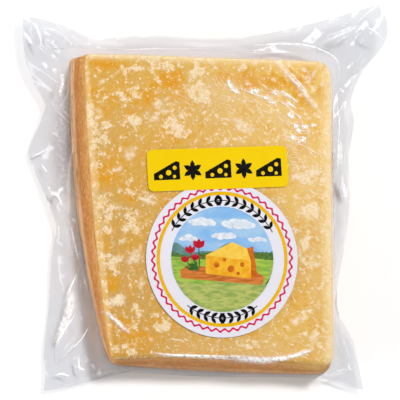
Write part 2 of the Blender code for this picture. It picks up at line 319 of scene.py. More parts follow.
class Board:
    """One material's nodes, laid out and joined up."""

    def __init__(self, name: str) -> None:
        """Starts a material with nothing in it but its output.

        Args:
            name: The material's name.
        """
        self.material = bpy.data.materials.new(name)
        self.material.use_nodes = True
        self.tree = self.material.node_tree
        self.tree.nodes.clear()
        self.output = self.tree.nodes.new("ShaderNodeOutputMaterial")

    def node(self, kind: str, inputs: dict | None = None, **settings: object) -> bpy.types.Node:
        """Adds a node.

        Args:
            kind: The node's type, without the words ShaderNode.
            inputs: Values or other nodes' sockets for its sockets, by name or by number.
            settings: The node's own properties.

        Returns:
            The node.
        """
        made = self.tree.nodes.new("ShaderNode" + kind)
        for name, value in settings.items():
            setattr(made, name, value)
        for name, value in (inputs or {}).items():
            if isinstance(value, Socket):
                self.tree.links.new(value, made.inputs[name])
            else:
                made.inputs[name].default_value = value
        return made

    def place(self, scale: Sequence[float] = (1.0, 1.0, 1.0), turn: float = 0.0) -> Socket:
        """Finds where a point is on the object, in millimetres.

        Args:
            scale: How much the pattern is squeezed along X, Y and Z.
            turn: How far it is turned about Z first.

        Returns:
            The place.
        """
        coordinates = self.node("TexCoord").outputs["Object"]
        stretched = [share / MM for share in scale]
        if turn:
            turned = self.node("Mapping", {"Vector": coordinates, "Rotation": (0.0, 0.0, turn)})
            coordinates = turned.outputs["Vector"]
        return self.node("Mapping", {"Vector": coordinates, "Scale": stretched}).outputs["Vector"]

    def noise(
        self, place: Socket, size: float, detail: float = 3.0, roughness: float = 0.5, distortion: float = 0.0
    ) -> Socket:
        """Adds cloudy variation.

        Args:
            place: Where the point is.
            size: About how wide the largest shapes are, in millimetres.
            detail: How many finer layers there are.
            roughness: How strong the finer layers are.
            distortion: How twisted the shapes are.

        Returns:
            The variation, from 0 to 1.
        """
        inputs = {"Vector": place, "Scale": 1.0 / size, "Detail": detail}
        inputs |= {"Roughness": roughness, "Distortion": distortion}
        return self.node("TexNoise", inputs, noise_dimensions="3D").outputs["Fac"]

    def cells(self, place: Socket, size: float) -> bpy.types.Node:
        """Cells about size millimetres across, each with a distance from its middle and a colour."""
        return self.node("TexVoronoi", {"Vector": place, "Scale": 1.0 / size, "Randomness": 1.0})

    def sum(self, operation: str, *values: object) -> Socket:
        """The result of one sum, such as MULTIPLY, on numbers or sockets."""
        inputs = dict(enumerate(values))
        return self.node("Math", inputs, operation=operation).outputs[0]

    def times(self, value: object, by: object, plus: object = None) -> Socket:
        """The product of two values, and a third added to it if there is one."""
        return self.sum("MULTIPLY", value, by) if plus is None else self.sum("MULTIPLY_ADD", value, by, plus)

    def most(self, first: object, second: object) -> Socket:
        """The larger of two values."""
        return self.sum("MAXIMUM", first, second)

    def band(self, value: object, start: float, end: float, low: float = 0.0, high: float = 1.0) -> Socket:
        """A value eased from low to high as it goes from start to end."""
        inputs = {"Value": value, "From Min": start, "From Max": end, "To Min": low, "To Max": high}
        return self.node("MapRange", inputs, interpolation_type="SMOOTHSTEP").outputs["Result"]

    def mix(self, share: object, first: object, second: object, blend: str = "MIX") -> Socket:
        """Mixes one colour into another.

        Args:
            share: How much of the second colour shows.
            first: The first colour.
            second: The second colour.
            blend: The way of mixing.

        Returns:
            The mixed colour.
        """
        made = self.node("Mix", data_type="RGBA", blend_type=blend)
        for number, value in ((0, share), (6, first), (7, second)):
            if isinstance(value, Socket):
                self.tree.links.new(value, made.inputs[number])
            elif number:
                made.inputs[number].default_value = (*value, 1.0)
            else:
                made.inputs[number].default_value = value
        return made.outputs[2]

    def bump(self, height: object, strength: object, distance: float, under: object = None) -> Socket:
        """Makes a bumpy normal.

        Args:
            height: The height of the relief.
            strength: How strongly it shows.
            distance: How deep it is.
            under: Another normal, under this one.

        Returns:
            The normal.
        """
        inputs = {"Height": height, "Strength": strength, "Distance": distance}
        if under is not None:
            inputs["Normal"] = under
        return self.node("Bump", inputs).outputs["Normal"]

    def attribute(self, name: str) -> Socket:
        """A number that the mesh carries at each of its points."""
        return self.node("Attribute", attribute_name=name).outputs["Fac"]

    def done(self, shader: bpy.types.Node) -> bpy.types.Material:
        """Joins the finished shader to the output."""
        self.tree.links.new(shader.outputs[0], self.output.inputs["Surface"])
        return self.material


@dataclass(frozen=True)
class CheeseFinish:
    """Aged hard cheese: amber, clouded with pale grains, and browner on its sides, with painted highlights
    along the face's edges and under the film's wrinkles, and painted shade at the foot of its sides.
    """

    amber: Colour = (0.74, 0.340, 0.012)
    ember: Colour = (0.71, 0.290, 0.005)
    gold: Colour = (0.640, 0.332, 0.044)
    tan: Colour = (0.600, 0.340, 0.090)
    straw: Colour = (0.90, 0.605, 0.168)
    cream: Colour = (0.90, 0.665, 0.315)
    # The colour of the painted highlight along the face's edges.
    edge: Colour = (0.98, 0.77, 0.43)
    # The pale grains' colour, also used for the painted glints and painted sheen of the film's wrinkles.
    grain_and_sheen: Colour = (0.97, 0.82, 0.65)
    # The brown-grey at the foot of the sides is painted shade.
    rind_foot_shade: Colour = (0.42, 0.22, 0.10)
    rind_pink: Colour = (0.95, 0.545, 0.265)
    rind_tan: Colour = (0.655, 0.245, 0.040)
    rind_gold: Colour = (0.74, 0.335, 0.060)
    rind_line: Colour = (0.42, 0.155, 0.015)
    rind_pale: Colour = (0.95, 0.60, 0.25)
    # The turn of the painted glints of the film's wrinkles.
    glint_turn: float = math.radians(33)

    def make(self) -> bpy.types.Material:
        """Lays out the material.

        Returns:
            The material.
        """
        board = Board("Parmesan")
        place = board.place()
        axes = board.node("SeparateXYZ", {"Vector": place}).outputs
        side = board.attribute("side")
        body, relief = self.face(board, place, axes)
        rind = self.sides(board, place, axes)
        colour = board.mix(board.band(side, 0.45, 0.95), body, rind)
        normal = board.bump(relief, 0.5, 0.25 * MM)
        inputs = {"Base Color": colour, "Roughness": 0.6, "Specular IOR Level": 0.06, "Normal": normal}
        return board.done(board.node("BsdfPrincipled", inputs))

    def face(self, board: Board, place: Socket, axes: Sequence) -> tuple:
        """Colours the cut face.

        Args:
            board: The material's board.
            place: The point's place in millimetres.
            axes: The place's three parts.

        Returns:
            The colour and the relief.
        """
        right = board.band(axes["X"], -46.0, 48.0)
        back = board.band(axes["Y"], -66.0, 56.0)
        ember = board.attribute("ember")
        fine = board.noise(place, 1.1, 4.0, 0.72)

        body = board.mix(board.band(board.noise(place, 24.0, 3.0, 0.55), 0.40, 0.60), self.gold, self.tan)
        paleness = board.times(right, 0.52, board.times(back, 0.24))
        body = board.mix(paleness, body, self.straw)
        amber = board.times(board.noise(place, 10.0, 4.0, 0.7, 0.4), 0.7, board.times(ember, 0.13))
        amber = board.times(board.noise(place, 2.6, 3.0, 0.7), 0.3, amber)
        body = board.mix(board.band(amber, 0.47, 0.68, 0.0, 0.95), body, self.amber)
        body = board.mix(board.band(amber, 0.58, 0.80, 0.0, 0.7), body, self.ember)
        body = board.mix(board.band(fine, 0.52, 0.74, 0.0, 0.52), body, self.cream)
        body = board.mix(board.band(fine, 0.47, 0.27, 0.0, 0.54), body, self.ember)

        # Clusters of pale grains: small cells, each pale or not, more often pale where the cloud is thick.
        cloud = board.times(board.noise(place, 4.6, 5.0, 0.78), 0.75, -0.15)
        cloud = board.times(board.noise(place, 2.3, 4.0, 0.75), 0.55, cloud)
        cloud = board.times(board.attribute("pale"), 0.17, cloud)
        # Painted highlight along the face's edges: paler, with more pale grains, for light through the
        # rounded edges and the film's sheen where it stands off them.
        rim = board.times(board.attribute("rim"), 0.85)
        cloud = board.times(rim, 0.10, cloud)
        body = board.mix(board.times(rim, board.band(cloud, 0.30, 0.62, 0.45, 1.0)), body, self.edge)
        often = board.band(cloud, 0.54, 0.71, 0.03, 0.90)
        body = board.mix(board.band(cloud, 0.56, 0.69, 0.0, 0.72), body, self.cream)
        grains_and_glints: Socket | float = 0.0
        for size, share in ((2.1, 0.50), (1.15, 0.85), (0.70, 0.95)):
            warped = self.warp(board, place, size)
            cells = board.cells(warped, size)
            chance = board.node("SeparateColor", {"Color": cells.outputs["Color"]}).outputs["Red"]
            picked = board.sum("LESS_THAN", chance, often)
            spot = board.band(cells.outputs["Distance"], 0.60, 0.15, 0.0, share)
            grains_and_glints = board.most(grains_and_glints, board.times(picked, spot))
        broken = board.band(board.noise(place, 1.4, 4.0, 0.7), 0.38, 0.58, 0.25, 0.75)
        grains_and_glints = board.most(grains_and_glints, board.times(board.attribute("crystal"), broken))
        # Painted glints of the film's fine wrinkles, mixed in with the real grains.
        grains_and_glints = board.most(grains_and_glints, self.wrinkle_glints(board))
        # A faint painted sheen of the film where it is wrinkled.
        painted_sheen = board.times(board.attribute("wrinkles"), 0.13)
        body = board.mix(board.most(grains_and_glints, painted_sheen), body, self.grain_and_sheen)
        relief = board.times(grains_and_glints, 0.8, board.noise(place, 1.6, 4.0))
        return body, relief

    def wrinkle_glints(self, board: Board) -> Socket:
        """Paints the glints of the film's fine wrinkles on the face: short pale strokes, much one way.

        Args:
            board: The material's board.

        Returns:
            How much painted glint the face gets for them.
        """
        found: Socket | float = 0.0
        bend = board.noise(board.place(), 8.0, 1.0)
        shift = board.node("CombineXYZ", {"X": bend, "Y": board.times(bend, 9.0)}).outputs[0]
        for length, width, share in ((5.0, 0.62, 0.62), (2.6, 0.42, 0.50)):
            place = board.place((1.0 / length, 1.0 / width, 0.05), self.glint_turn)
            place = board.node("VectorMath", {0: place, 1: shift}, operation="ADD").outputs[0]
            cells = board.cells(place, 1.0)
            chances = board.node("SeparateColor", {"Color": cells.outputs["Color"]}).outputs
            often = board.times(board.attribute("wrinkles"), share)
            picked = board.sum("LESS_THAN", chances["Red"], often)
            strength = board.band(chances["Green"], 0.0, 1.0, 0.30, 1.0)
            glint = board.times(board.band(cells.outputs["Distance"], 0.46, 0.16), strength)
            found = board.most(found, board.times(glint, picked))
        return found

    def warp(self, board: Board, place: Socket, size: float) -> Socket:
        """Bends the place a little, so that the cells are ragged.

        Args:
            board: The material's board.
            place: The place.
            size: The cells' size.

        Returns:
            The bent place.
        """
        bend = board.node("TexNoise", {"Vector": place, "Scale": 0.8 / size, "Detail": 2.0}).outputs["Color"]
        shift = board.node("VectorMath", {0: bend, 1: (0.5, 0.5, 0.5)}, operation="SUBTRACT").outputs[0]
        scaled = board.node("VectorMath", {0: shift, 3: 1.3 * size}, operation="SCALE").outputs[0]
        return board.node("VectorMath", {0: place, 1: scaled}, operation="ADD").outputs[0]

    def sides(self, board: Board, place: Socket, axes: Sequence) -> Socket:
        """Colours the sides: layers that run round the chunk, from gold at the face to brown below; the
        brown-grey at the very foot is painted shade.

        Args:
            board: The material's board.
            place: The point's place in millimetres.
            axes: The place's three parts.

        Returns:
            The colour.
        """
        layers = board.noise(board.place((0.10, 0.10, 0.30)), 1.4, 4.0, 0.6)
        streak = board.noise(board.place((0.22, 0.22, 0.85)), 1.0, 5.0, 0.75, 0.8)
        crumbs = board.noise(place, 1.1, 4.0, 0.65)
        height = board.times(layers, 9.0, board.sum("SUBTRACT", axes["Z"], 4.5))
        # Painted shade: brown-grey at the foot of the sides.
        rind = board.mix(board.band(height, 0.2, 2.2), self.rind_foot_shade, self.rind_pink)
        rind = board.mix(board.band(height, 4.5, 7.5), rind, self.rind_tan)
        rind = board.mix(board.band(height, 14.0, 19.0), rind, self.rind_gold)
        rind = board.mix(board.band(axes["Y"], -63.0, -66.0, 0.0, 0.36), rind, self.rind_tan)
        # Dark streaks, painted shade in the crust's crevices, and pale ones.
        rind = board.mix(board.band(streak, 0.53, 0.63, 0.0, 0.85), rind, self.rind_line)
        rind = board.mix(board.band(streak, 0.44, 0.34, 0.0, 0.75), rind, self.rind_pale)
        # A thin darker band just under the face's edge.
        upper_dark_band = board.times(board.band(height, 19.2, 20.4), board.band(height, 22.0, 20.8))
        rind = board.mix(board.times(upper_dark_band, 0.65), rind, self.rind_line)
        crust = board.times(board.band(crumbs, 0.52, 0.62), board.band(height, 6.0, 20.0, 0.24, 0.55))
        rind = board.mix(crust, rind, self.rind_pale)
        golden = board.times(board.band(axes["X"], 20.0, 42.0), board.band(height, 8.0, 12.5, 0.15, 0.80))
        return board.mix(golden, rind, board.mix(board.band(crumbs, 0.42, 0.60), self.amber, self.straw))


@dataclass(frozen=True)
class FilmFinish:
    """Clear glossy film: greyer where it is doubled, with painted highlights along its sharpest creases and
    painted shade in places.
    """

    tight: Colour = (0.955, 0.957, 0.965)
    doubled: Colour = (0.936, 0.944, 0.960)
    shaded: Colour = (0.66, 0.665, 0.68)
    # The colour of the painted highlights.
    white: Colour = (0.99, 0.985, 0.98)
    shine: Colour = (0.72, 0.72, 0.73)
    facing_shine: float = 0.062
    edge_shine: float = 0.25
    roughness: float = 0.12
    ripple_turn: float = math.radians(31)

    def make(self) -> bpy.types.Material:
        """Lays out the material.

        Returns:
            The material.
        """
        board = Board("Clear film")
        crinkle = board.attribute("crinkle")
        fine = board.noise(board.place((0.30, 1.0, 1.0), self.ripple_turn), 1.3, 3.0, 0.55, 0.8)
        soft = board.noise(board.place(), 7.0, 2.0)
        ripple = board.bump(fine, board.times(crinkle, 0.22), 0.25 * MM)
        normal = board.bump(soft, 0.10, 0.5 * MM, ripple)
        grazing = board.node("LayerWeight", {"Blend": 0.5, "Normal": normal}).outputs["Facing"]
        steep = board.sum("POWER", grazing, 2.5)
        share = board.band(steep, 0.0, 1.0, self.facing_shine, self.edge_shine)
        share = board.times(share, board.band(board.attribute("margin"), 0.0, 1.0, 0.35, 1.0))
        # Painted light: marks above 0 mix in a matt white, a painted highlight, and marks below 0 darken the
        # tint towards the shaded colour, a painted shade.
        mark = self.painted_lights(board)
        tint = board.mix(board.attribute("margin"), self.tight, self.doubled)
        tint = board.mix(board.band(mark, 0.0, -1.0), tint, self.shaded)
        clear = board.node("BsdfTransparent", {"Color": tint})
        inputs = {"Base Color": (*self.shine, 1.0), "Metallic": 1.0}
        inputs |= {"Roughness": self.roughness, "Normal": normal}
        gloss = board.node("BsdfPrincipled", inputs)
        mixed = board.node("MixShader", {0: share, 1: clear.outputs[0], 2: gloss.outputs[0]})
        # The painted highlight: a matt white for the creases' white lines and glints.
        inputs = {"Base Color": (*self.white, 1.0), "Roughness": 0.5, "Specular IOR Level": 0.0}
        highlight_paint = board.node("BsdfPrincipled", inputs)
        highlight_share = board.band(mark, 0.0, 1.0)
        return board.done(board.node("MixShader", {0: highlight_share, 1: mixed.outputs[0], 2: highlight_paint.outputs[0]}))

    def painted_lights(self, board: Board) -> Socket:
        """Adds up the painted highlights and painted shade of the film's creases and patches.

        Args:
            board: The material's board.

        Returns:
            How much painted highlight (above 0) or painted shade (below 0) the film gets for them.
        """
        across = board.sum("ABSOLUTE", board.attribute("across"))
        # Breaks the painted marks up unevenly.
        roughened = board.band(board.noise(board.place(), 1.5, 3.0, 0.6), 0.30, 0.60, 0.45, 1.0)
        ragged = board.band(board.noise(board.place(), 1.3, 4.0, 0.75), 0.42, 0.56)
        line = board.times(board.band(across, 1.1, 0.1), board.attribute("tone"))
        whole = board.sum("ADD", line, board.attribute("patch"))
        # The broken marks' glints, painted in crumbs.
        crumbs = board.times(ragged, 0.6, -0.8)
        crumbs = board.most(board.times(board.attribute("broken"), 1.5, crumbs), 0.0)
        return board.times(whole, roughened, crumbs)


@dataclass(frozen=True)
class PaperFinish:
    """Coated sticker paper: one colour, faintly uneven, with a soft gloss."""

    name: str
    colour: Colour
    shade: Colour
    roughness: float = 0.42

    def make(self) -> bpy.types.Material:
        """Lays out the material.

        Returns:
            The material.
        """
        board = Board(self.name)
        place = board.place()
        cloud = board.band(board.noise(place, 9.0, 4.0), 0.35, 0.70)
        fibre = board.noise(place, 0.35, 3.0)
        colour = board.mix(board.times(cloud, 0.6), self.colour, self.shade)
        normal = board.bump(fibre, 0.12, 0.05 * MM)
        inputs = {"Base Color": colour, "Roughness": self.roughness, "Normal": normal}
        inputs["Specular IOR Level"] = 0.06
        return board.done(board.node("BsdfPrincipled", inputs))


@dataclass(frozen=True)
class PrintFinish:
    """Printed ink: two shades of one colour in soft patches, as a painted picture has."""

    name: str
    light: Colour
    dark: Colour
    patch: float = 3.0
    stretch: tuple[float, float, float] = (1.0, 1.0, 1.0)
    start: float = 0.38
    end: float = 0.64

    def make(self) -> bpy.types.Material:
        """Lays out the material.

        Returns:
            The material.
        """
        board = Board(self.name)
        place = board.place(self.stretch)
        cloud = board.band(board.noise(place, self.patch, 4.0, 0.6), self.start, self.end)
        colour = board.mix(cloud, self.light, self.dark)
        inputs = {"Base Color": colour, "Roughness": 0.42, "Specular IOR Level": 0.05}
        return board.done(board.node("BsdfPrincipled", inputs))


@dataclass(frozen=True)
class FloorFinish:
    """A plain white table, faintly luminous as a lit sweep is."""

    colour: Colour = (0.91, 0.91, 0.915)
    glow: float = 0.03

    def make(self) -> bpy.types.Material:
        """Lays out the material.

        Returns:
            The material.
        """
        board = Board("White table")
        inputs = {"Base Color": (*self.colour, 1.0), "Roughness": 0.9, "Specular IOR Level": 0.0}
        inputs |= {"Emission Color": (1.0, 1.0, 1.0, 1.0), "Emission Strength": self.glow}
        return board.done(board.node("BsdfPrincipled", inputs))


# The pack's form


def smooth_step(share: float) -> float:
    """Returns 0 to 1 with level ends."""
    share = min(1.0, max(0.0, share))
    return share * share * (3.0 - 2.0 * share)


def through(stations: Sequence[Station], share: float) -> list[float]:
    """Reads a smooth curve.

    Args:
        stations: Rows of a share of the way and the values there.
        share: The share of the way to read.

    Returns:
        The values there.
    """
    last = len(stations) - 1
    index = max(i for i in range(last) if stations[i][0] <= share or i == 0)
    before, after = stations[index], stations[index + 1]
    span = after[0] - before[0]
    step = (share - before[0]) / span
    square, cube = step * step, step * step * step

    def slope(i: int, k: int) -> float:
        """Returns value k's slope at station i."""
        low, high = stations[max(i - 1, 0)], stations[min(i + 1, last)]
        return (high[k] - low[k]) / (high[0] - low[0])

    values = []
    for k in range(1, len(before)):
        leave, arrive = slope(index, k) * span, slope(index + 1, k) * span
        values.append(
            (2 * cube - 3 * square + 1) * before[k]
            + (cube - 2 * square + step) * leave
            + (3 * square - 2 * cube) * after[k]
            + (cube - square) * arrive
        )
    return values


def chord_point(corners: Sequence[Vector], side: int, share: float, outside: float) -> Vector:
    """Returns a point beside the straight line from one corner to the next."""
    start, end = corners[side], corners[(side + 1) % SIDES]
    along = (end - start).normalized()
    return start.lerp(end, share) + outside * Vector((along.y, -along.x))


def in_metres(rows: Sequence[Station]) -> tuple[Station, ...]:
    """Returns rows of a share and millimetres, with the millimetres made metres."""
    return tuple((row[0], *(value * MM for value in row[1:])) for row in rows)


@dataclass(frozen=True)
class Slab:
    """One outline of the block of cheese: four corners, rounded, and four sides, bowed."""

    corners_mm: tuple[Point, ...]
    cuts_mm: tuple[float, ...]
    bulges_mm: tuple[float, ...]

    def point(self, place: float) -> Vector:
        """Finds a point of the outline.

        Args:
            place: The place round the pack.

        Returns:
            The point.
        """
        place %= SIDES
        side = int(place)
        share = place - side
        corner = side if share < 0.5 else (side + 1) % SIDES
        before = (corner - 1) % SIDES
        near = share if share < 0.5 else 1.0 - share
        cut_share = self.cuts_mm[corner] * MM / self.length(side)
        if near >= cut_share:
            return self.on_side(side, share)
        first = self.on_side(before, 1.0 - self.cuts_mm[corner] * MM / self.length(before))
        last = self.on_side(corner, self.cuts_mm[corner] * MM / self.length(corner))
        middle = self.corners()[corner]
        turn = 0.5 + (0.5 if share < 0.5 else -0.5) * near / cut_share
        return first.lerp(middle, turn).lerp(middle.lerp(last, turn), turn)

    def corners(self) -> list[Vector]:
        """Returns the four corners."""
        return [Vector((x * MM, y * MM)) for x, y in self.corners_mm]

    def length(self, side: int) -> float:
        """Returns a side's length from corner to corner."""
        corners = self.corners()
        return (corners[(side + 1) % SIDES] - corners[side]).length

    def on_side(self, side: int, share: float) -> Vector:
        """Returns a point on a side, corners apart."""
        bulge = self.bulges_mm[side] * MM * 4.0 * share * (1.0 - share)
        return chord_point(self.corners(), side, share, bulge)

    def patch(self, across: float, along: float) -> Vector:
        """Finds a point inside the outline.

        Args:
            across: The share of the outline's width.
            along: The share of its depth.

        Returns:
            The point.
        """
        front, right = self.point(across), self.point(1.0 + along)
        back, left = self.point(3.0 - across), self.point(4.0 - along)
        corner = [self.point(float(i)) for i in range(SIDES)]
        flat = corner[0].lerp(corner[1], across).lerp(corner[3].lerp(corner[2], across), along)
        return front.lerp(back, along) + left.lerp(right, across) - flat


@dataclass(frozen=True)
class PackForm:
    """The pack's form: the block of cheese, the bag's rim, and how the film runs between them."""

    height: float = 24 * MM
    top: Slab = Slab(
        ((-40.6, -64.7), (47.0, -67.0), (46.4, 51.4), (-51.2, 51.4)),
        (3.0, 5.0, 7.0, 2.0),
        (-1.9, 0.2, 0.3, 2.2),
    )
    base: Slab = Slab(
        ((-37.0, -66.2), (52.5, -69.8), (47.3, 52.1), (-52.3, 52.1)),
        (4.5, 7.0, 7.0, 1.5),
        (0.9, 0.3, 0.4, 5.2),
    )
    tips_mm: tuple[Point, ...] = ((-62.4, -75.9), (63.9, -75.3), (69.9, 75.9), (-72.2, 66.8))
    edges_mm: tuple[tuple[Station, ...], ...] = (
        (
            (0, 0, 4), (0.085, -1.7, 3), (0.155, -4.1, 2), (0.22, -6.9, 1.6), (0.5, -5.4, 1.3),
            (0.87, -4.4, 1.6), (0.97, -0.7, 4), (1, 0, 5),
        ),
        (
            (0, 0, 5), (0.065, -2, 4), (0.13, -4.5, 3), (0.205, -12.3, 5), (0.25, -12.2, 5.5),
            (0.35, -10.3, 6), (0.46, -8.1, 5), (0.61, -8.9, 5), (0.69, -7.6, 6), (0.745, -9.9, 8),
            (0.82, -6, 9), (0.89, 1.3, 11), (0.93, 3, 12), (1, 0, 13),
        ),
        (
            (0, 0, 13), (0.07, -2.6, 12), (0.215, -7.2, 9), (0.36, -10.5, 8), (0.5, -11.2, 8),
            (0.645, -9.3, 8), (0.75, -9.7, 8), (0.81, -10, 7), (0.86, -6.3, 7), (0.925, -2.8, 8), (1, 0, 9),
        ),
        (
            (0, 0, 9), (0.03, 0.6, 9), (0.115, -0.1, 8), (0.17, -2.3, 7), (0.24, -7, 5), (0.275, -5.6, 5),
            (0.365, 0.2, 3), (0.405, -1.3, 3), (0.53, -7.2, 5), (0.575, -8.6, 5), (0.63, -6.5, 4),
            (0.775, -4.1, 2.5), (0.91, -0.8, 3), (0.945, -1.1, 3.5), (1, 0, 4),
        ),
    )
    roots_mm: tuple[tuple[Station, ...], ...] = (
        ((0, 7, 5), (0.12, 3, 1.2), (0.88, 3, 1.2), (1, 7, 6)),
        ((0, 7, 6), (0.15, 9.5, 2.5), (0.8, 11, 3), (1, 12, 9)),
        ((0, 12, 9), (0.2, 11.5, 4), (0.8, 11, 3.5), (1, 11, 6)),
        ((0, 11, 6), (0.15, 10, 1.8), (0.85, 8, 1.8), (1, 7, 5)),
    )
    face_waves_mm: tuple[Station, ...] = ((0.16, 61.0, 87.0, 0.4), (0.11, -38.0, 49.0, 1.9))
    reach_limit: float = 0.6
    half_width: float = 45 * MM

    def drawn_in(self, rounding: float) -> float:
        """Returns the scale that draws the block's outline in by an edge's rounding."""
        return 1.0 - rounding / self.half_width

    def face(self, x: float, y: float) -> float:
        """Finds the height of the bag's upper face over the cheese.

        Args:
            x: The place along X.
            y: The place along Y.

        Returns:
            The height.
        """
        height = self.height
        for size, long_x, long_y, shift in self.face_waves_mm:
            height += size * MM * math.sin(math.tau * (x / long_x + y / long_y) / MM + shift)
        return height

    def wrinkles(self, places: np.ndarray) -> np.ndarray:
        """Finds how wrinkled the film on the cheese is: most at the back right.

        Args:
            places: The places, one row each.

        Returns:
            One number for each place, from 0 to 1.
        """
        x, y = places[:, 0] / MM, places[:, 1] / MM
        ring = np.hypot((x - 4) / 32, (y - 4) / 34)
        arc = np.exp(-(((ring - 1.0) / 0.20) ** 2)) * np.clip((x + y - 8) / 30, 0.0, 1.0)
        right = 0.75 * np.exp(-(((x - 37) / 9) ** 2) - (((y + 8) / 36) ** 2))
        middle = 0.45 * np.exp(-(((x - 8) / 20) ** 2) - (((y - 27) / 10) ** 2))
        front = 0.55 * np.exp(-(((y + 60) / 5) ** 2)) * np.clip((x + 30) / 20, 0.0, 1.0)
        return np.clip(np.max((arc, right, middle, front), axis=0) * 1.08 - 0.05, 0.0, 1.0)

    def wall(self, place: float, height: float) -> Vector:
        """Returns where the side of the block is at this height."""
        return self.top.point(place).lerp(self.base.point(place), 1.0 - height / self.height)

    def rim(self, place: float) -> tuple[Vector, float]:
        """Finds a point of the bag's rim.

        Args:
            place: The place round the pack.

        Returns:
            The point and its height.
        """
        side = int(place % SIDES)
        share = place % SIDES - side
        outside, height = through(in_metres(self.edges_mm[side]), share)
        tips = [Vector((x * MM, y * MM)) for x, y in self.tips_mm]
        return chord_point(tips, side, share, outside), height

    def root(self, place: float) -> tuple[Vector, float, float]:
        """Finds where the margin springs from the block.

        Args:
            place: The place round the pack.

        Returns:
            The point, its height, and its distance from the wall.
        """
        side = int(place % SIDES)
        height, reach = through(in_metres(self.roots_mm[side]), place % SIDES - side)
        wall, rim = self.wall(place, height), self.rim(place)[0]
        reach = min(reach, self.reach_limit * (rim - wall).length)
        return wall + reach * self.outwards(place), height, reach

    def outwards(self, place: float) -> Vector:
        """Returns the level direction from the block to the rim."""
        return (self.rim(place)[0] - self.top.point(place)).normalized()


@dataclass(frozen=True)
class Crease:
    """A fold in the film: the line that it follows, how far its flanks reach and how high it stands."""

    path_mm: tuple[Point, ...]
    spread_mm: float
    height_mm: float

    def corners(self) -> list[Raised]:
        """Returns the fold's own points, with their heights: half as high at its two ends."""
        ends = (0, len(self.path_mm) - 1)
        heights = [self.height_mm * (0.35 if i in ends else 1.0) for i in range(len(self.path_mm))]
        return [(x, y, height) for (x, y), height in zip(self.path_mm, heights)]

    def flanks(self) -> list[Raised]:
        """Finds flat points on both sides of the fold, where its flanks end.

        Returns:
            The points.
        """
        found = []
        for (x, y), (next_x, next_y) in zip(self.path_mm, self.path_mm[1:]):
            run = math.hypot(next_x - x, next_y - y)
            out_x, out_y = (next_y - y) / run * self.spread_mm, (x - next_x) / run * self.spread_mm
            for share in (0.2, 0.8) if run > 3.0 else (0.5,):
                at_x, at_y = x + (next_x - x) * share, y + (next_y - y) * share
                found += [(at_x + out_x, at_y + out_y, 0.0), (at_x - out_x, at_y - out_y, 0.0)]
        return found


@dataclass(frozen=True)
class PaintedLight:
    """A line or patch of painted highlight on the film, or of painted shade where the tone is below 0.

    A broken one is painted in crumbs, as scattered glints.
    """

    path_mm: tuple[Point, ...]
    width_mm: float
    tone: float
    broken: bool = False

    def reach(self, places: np.ndarray) -> tuple[np.ndarray, np.ndarray]:
        """Measures where each place is from the mark's line.

        Args:
            places: The places, one (x, y) row each.

        Returns:
            How many widths each place lies to the left of the line, and a share that falls to 0 at
            the line's two ends.
        """
        path = np.array(self.path_mm) * MM
        runs = np.linalg.norm(np.diff(path, axis=0), axis=1)
        nearest = np.full(len(places), np.inf)
        across, share = np.zeros(len(places)), np.zeros(len(places))
        passed = 0.0
        for start, end, run in zip(path, path[1:], runs):
            way = (end - start) / run
            along = np.clip((places - start) @ way, 0.0, run)
            gap = places - start - along[:, None] * way
            away = np.linalg.norm(gap, axis=1)
            closer = away < nearest
            left = np.sign(way[0] * gap[:, 1] - way[1] * gap[:, 0])
            nearest[closer] = away[closer]
            across[closer] = (left * away)[closer]
            share[closer] = ((passed + along) / runs.sum())[closer]
            passed += run
        return across / (self.width_mm * MM), (4.0 * share * (1.0 - share)) ** 0.6


class Facets:
    """A sheet of flat facets, folded along straight lines from point to point."""

    def __init__(self, corners: Sequence[Raised], folds: Sequence[tuple[int, int]] = ()) -> None:
        """Joins the points into triangles.

        Args:
            corners: Each point's place and height, in millimetres.
            folds: Pairs of points that a fold has to join.
        """
        flat = [Vector((x, y)) for x, y, _ in corners]
        found, _, faces, origins, _, _ = geometry.delaunay_2d_cdt(flat, list(folds), [], 0, 1e-5)
        heights = []
        for place, origin in zip(found, origins):
            near = origin or sorted(range(len(flat)), key=lambda i: (flat[i] - place).length)[:2]
            heights.append(sum(corners[i][2] for i in near) / len(near))
        self.places = np.array([tuple(place) for place in found]) * MM
        self.heights = np.array(heights) * MM
        self.faces = faces

    def lift(self, places: np.ndarray) -> np.ndarray:
        """Finds the sheet's height.

        Args:
            places: The places, one (x, y) row each.

        Returns:
            The height at each place.
        """
        lift = np.zeros(len(places))
        x, y = places[:, 0], places[:, 1]
        for face in self.faces:
            (ax, ay), (bx, by), (cx, cy) = self.places[list(face[:3])]
            area = (bx - ax) * (cy - ay) - (cx - ax) * (by - ay)
            if abs(area) < 1e-12:
                continue
            in_width = (x >= min(ax, bx, cx)) & (x <= max(ax, bx, cx))
            in_depth = (y >= min(ay, by, cy)) & (y <= max(ay, by, cy))
            index = np.flatnonzero(in_width & in_depth)
            px, py = x[index], y[index]
            second = ((px - ax) * (cy - ay) - (cx - ax) * (py - ay)) / area
            third = ((bx - ax) * (py - ay) - (px - ax) * (by - ay)) / area
            hit = (second >= -1e-9) & (third >= -1e-9) & (second + third <= 1.0 + 1e-9)
            high = self.heights[list(face[:3])]
            rise = high[0] + second * (high[1] - high[0]) + third * (high[2] - high[0])
            lift[index[hit]] = rise[hit]
        return lift


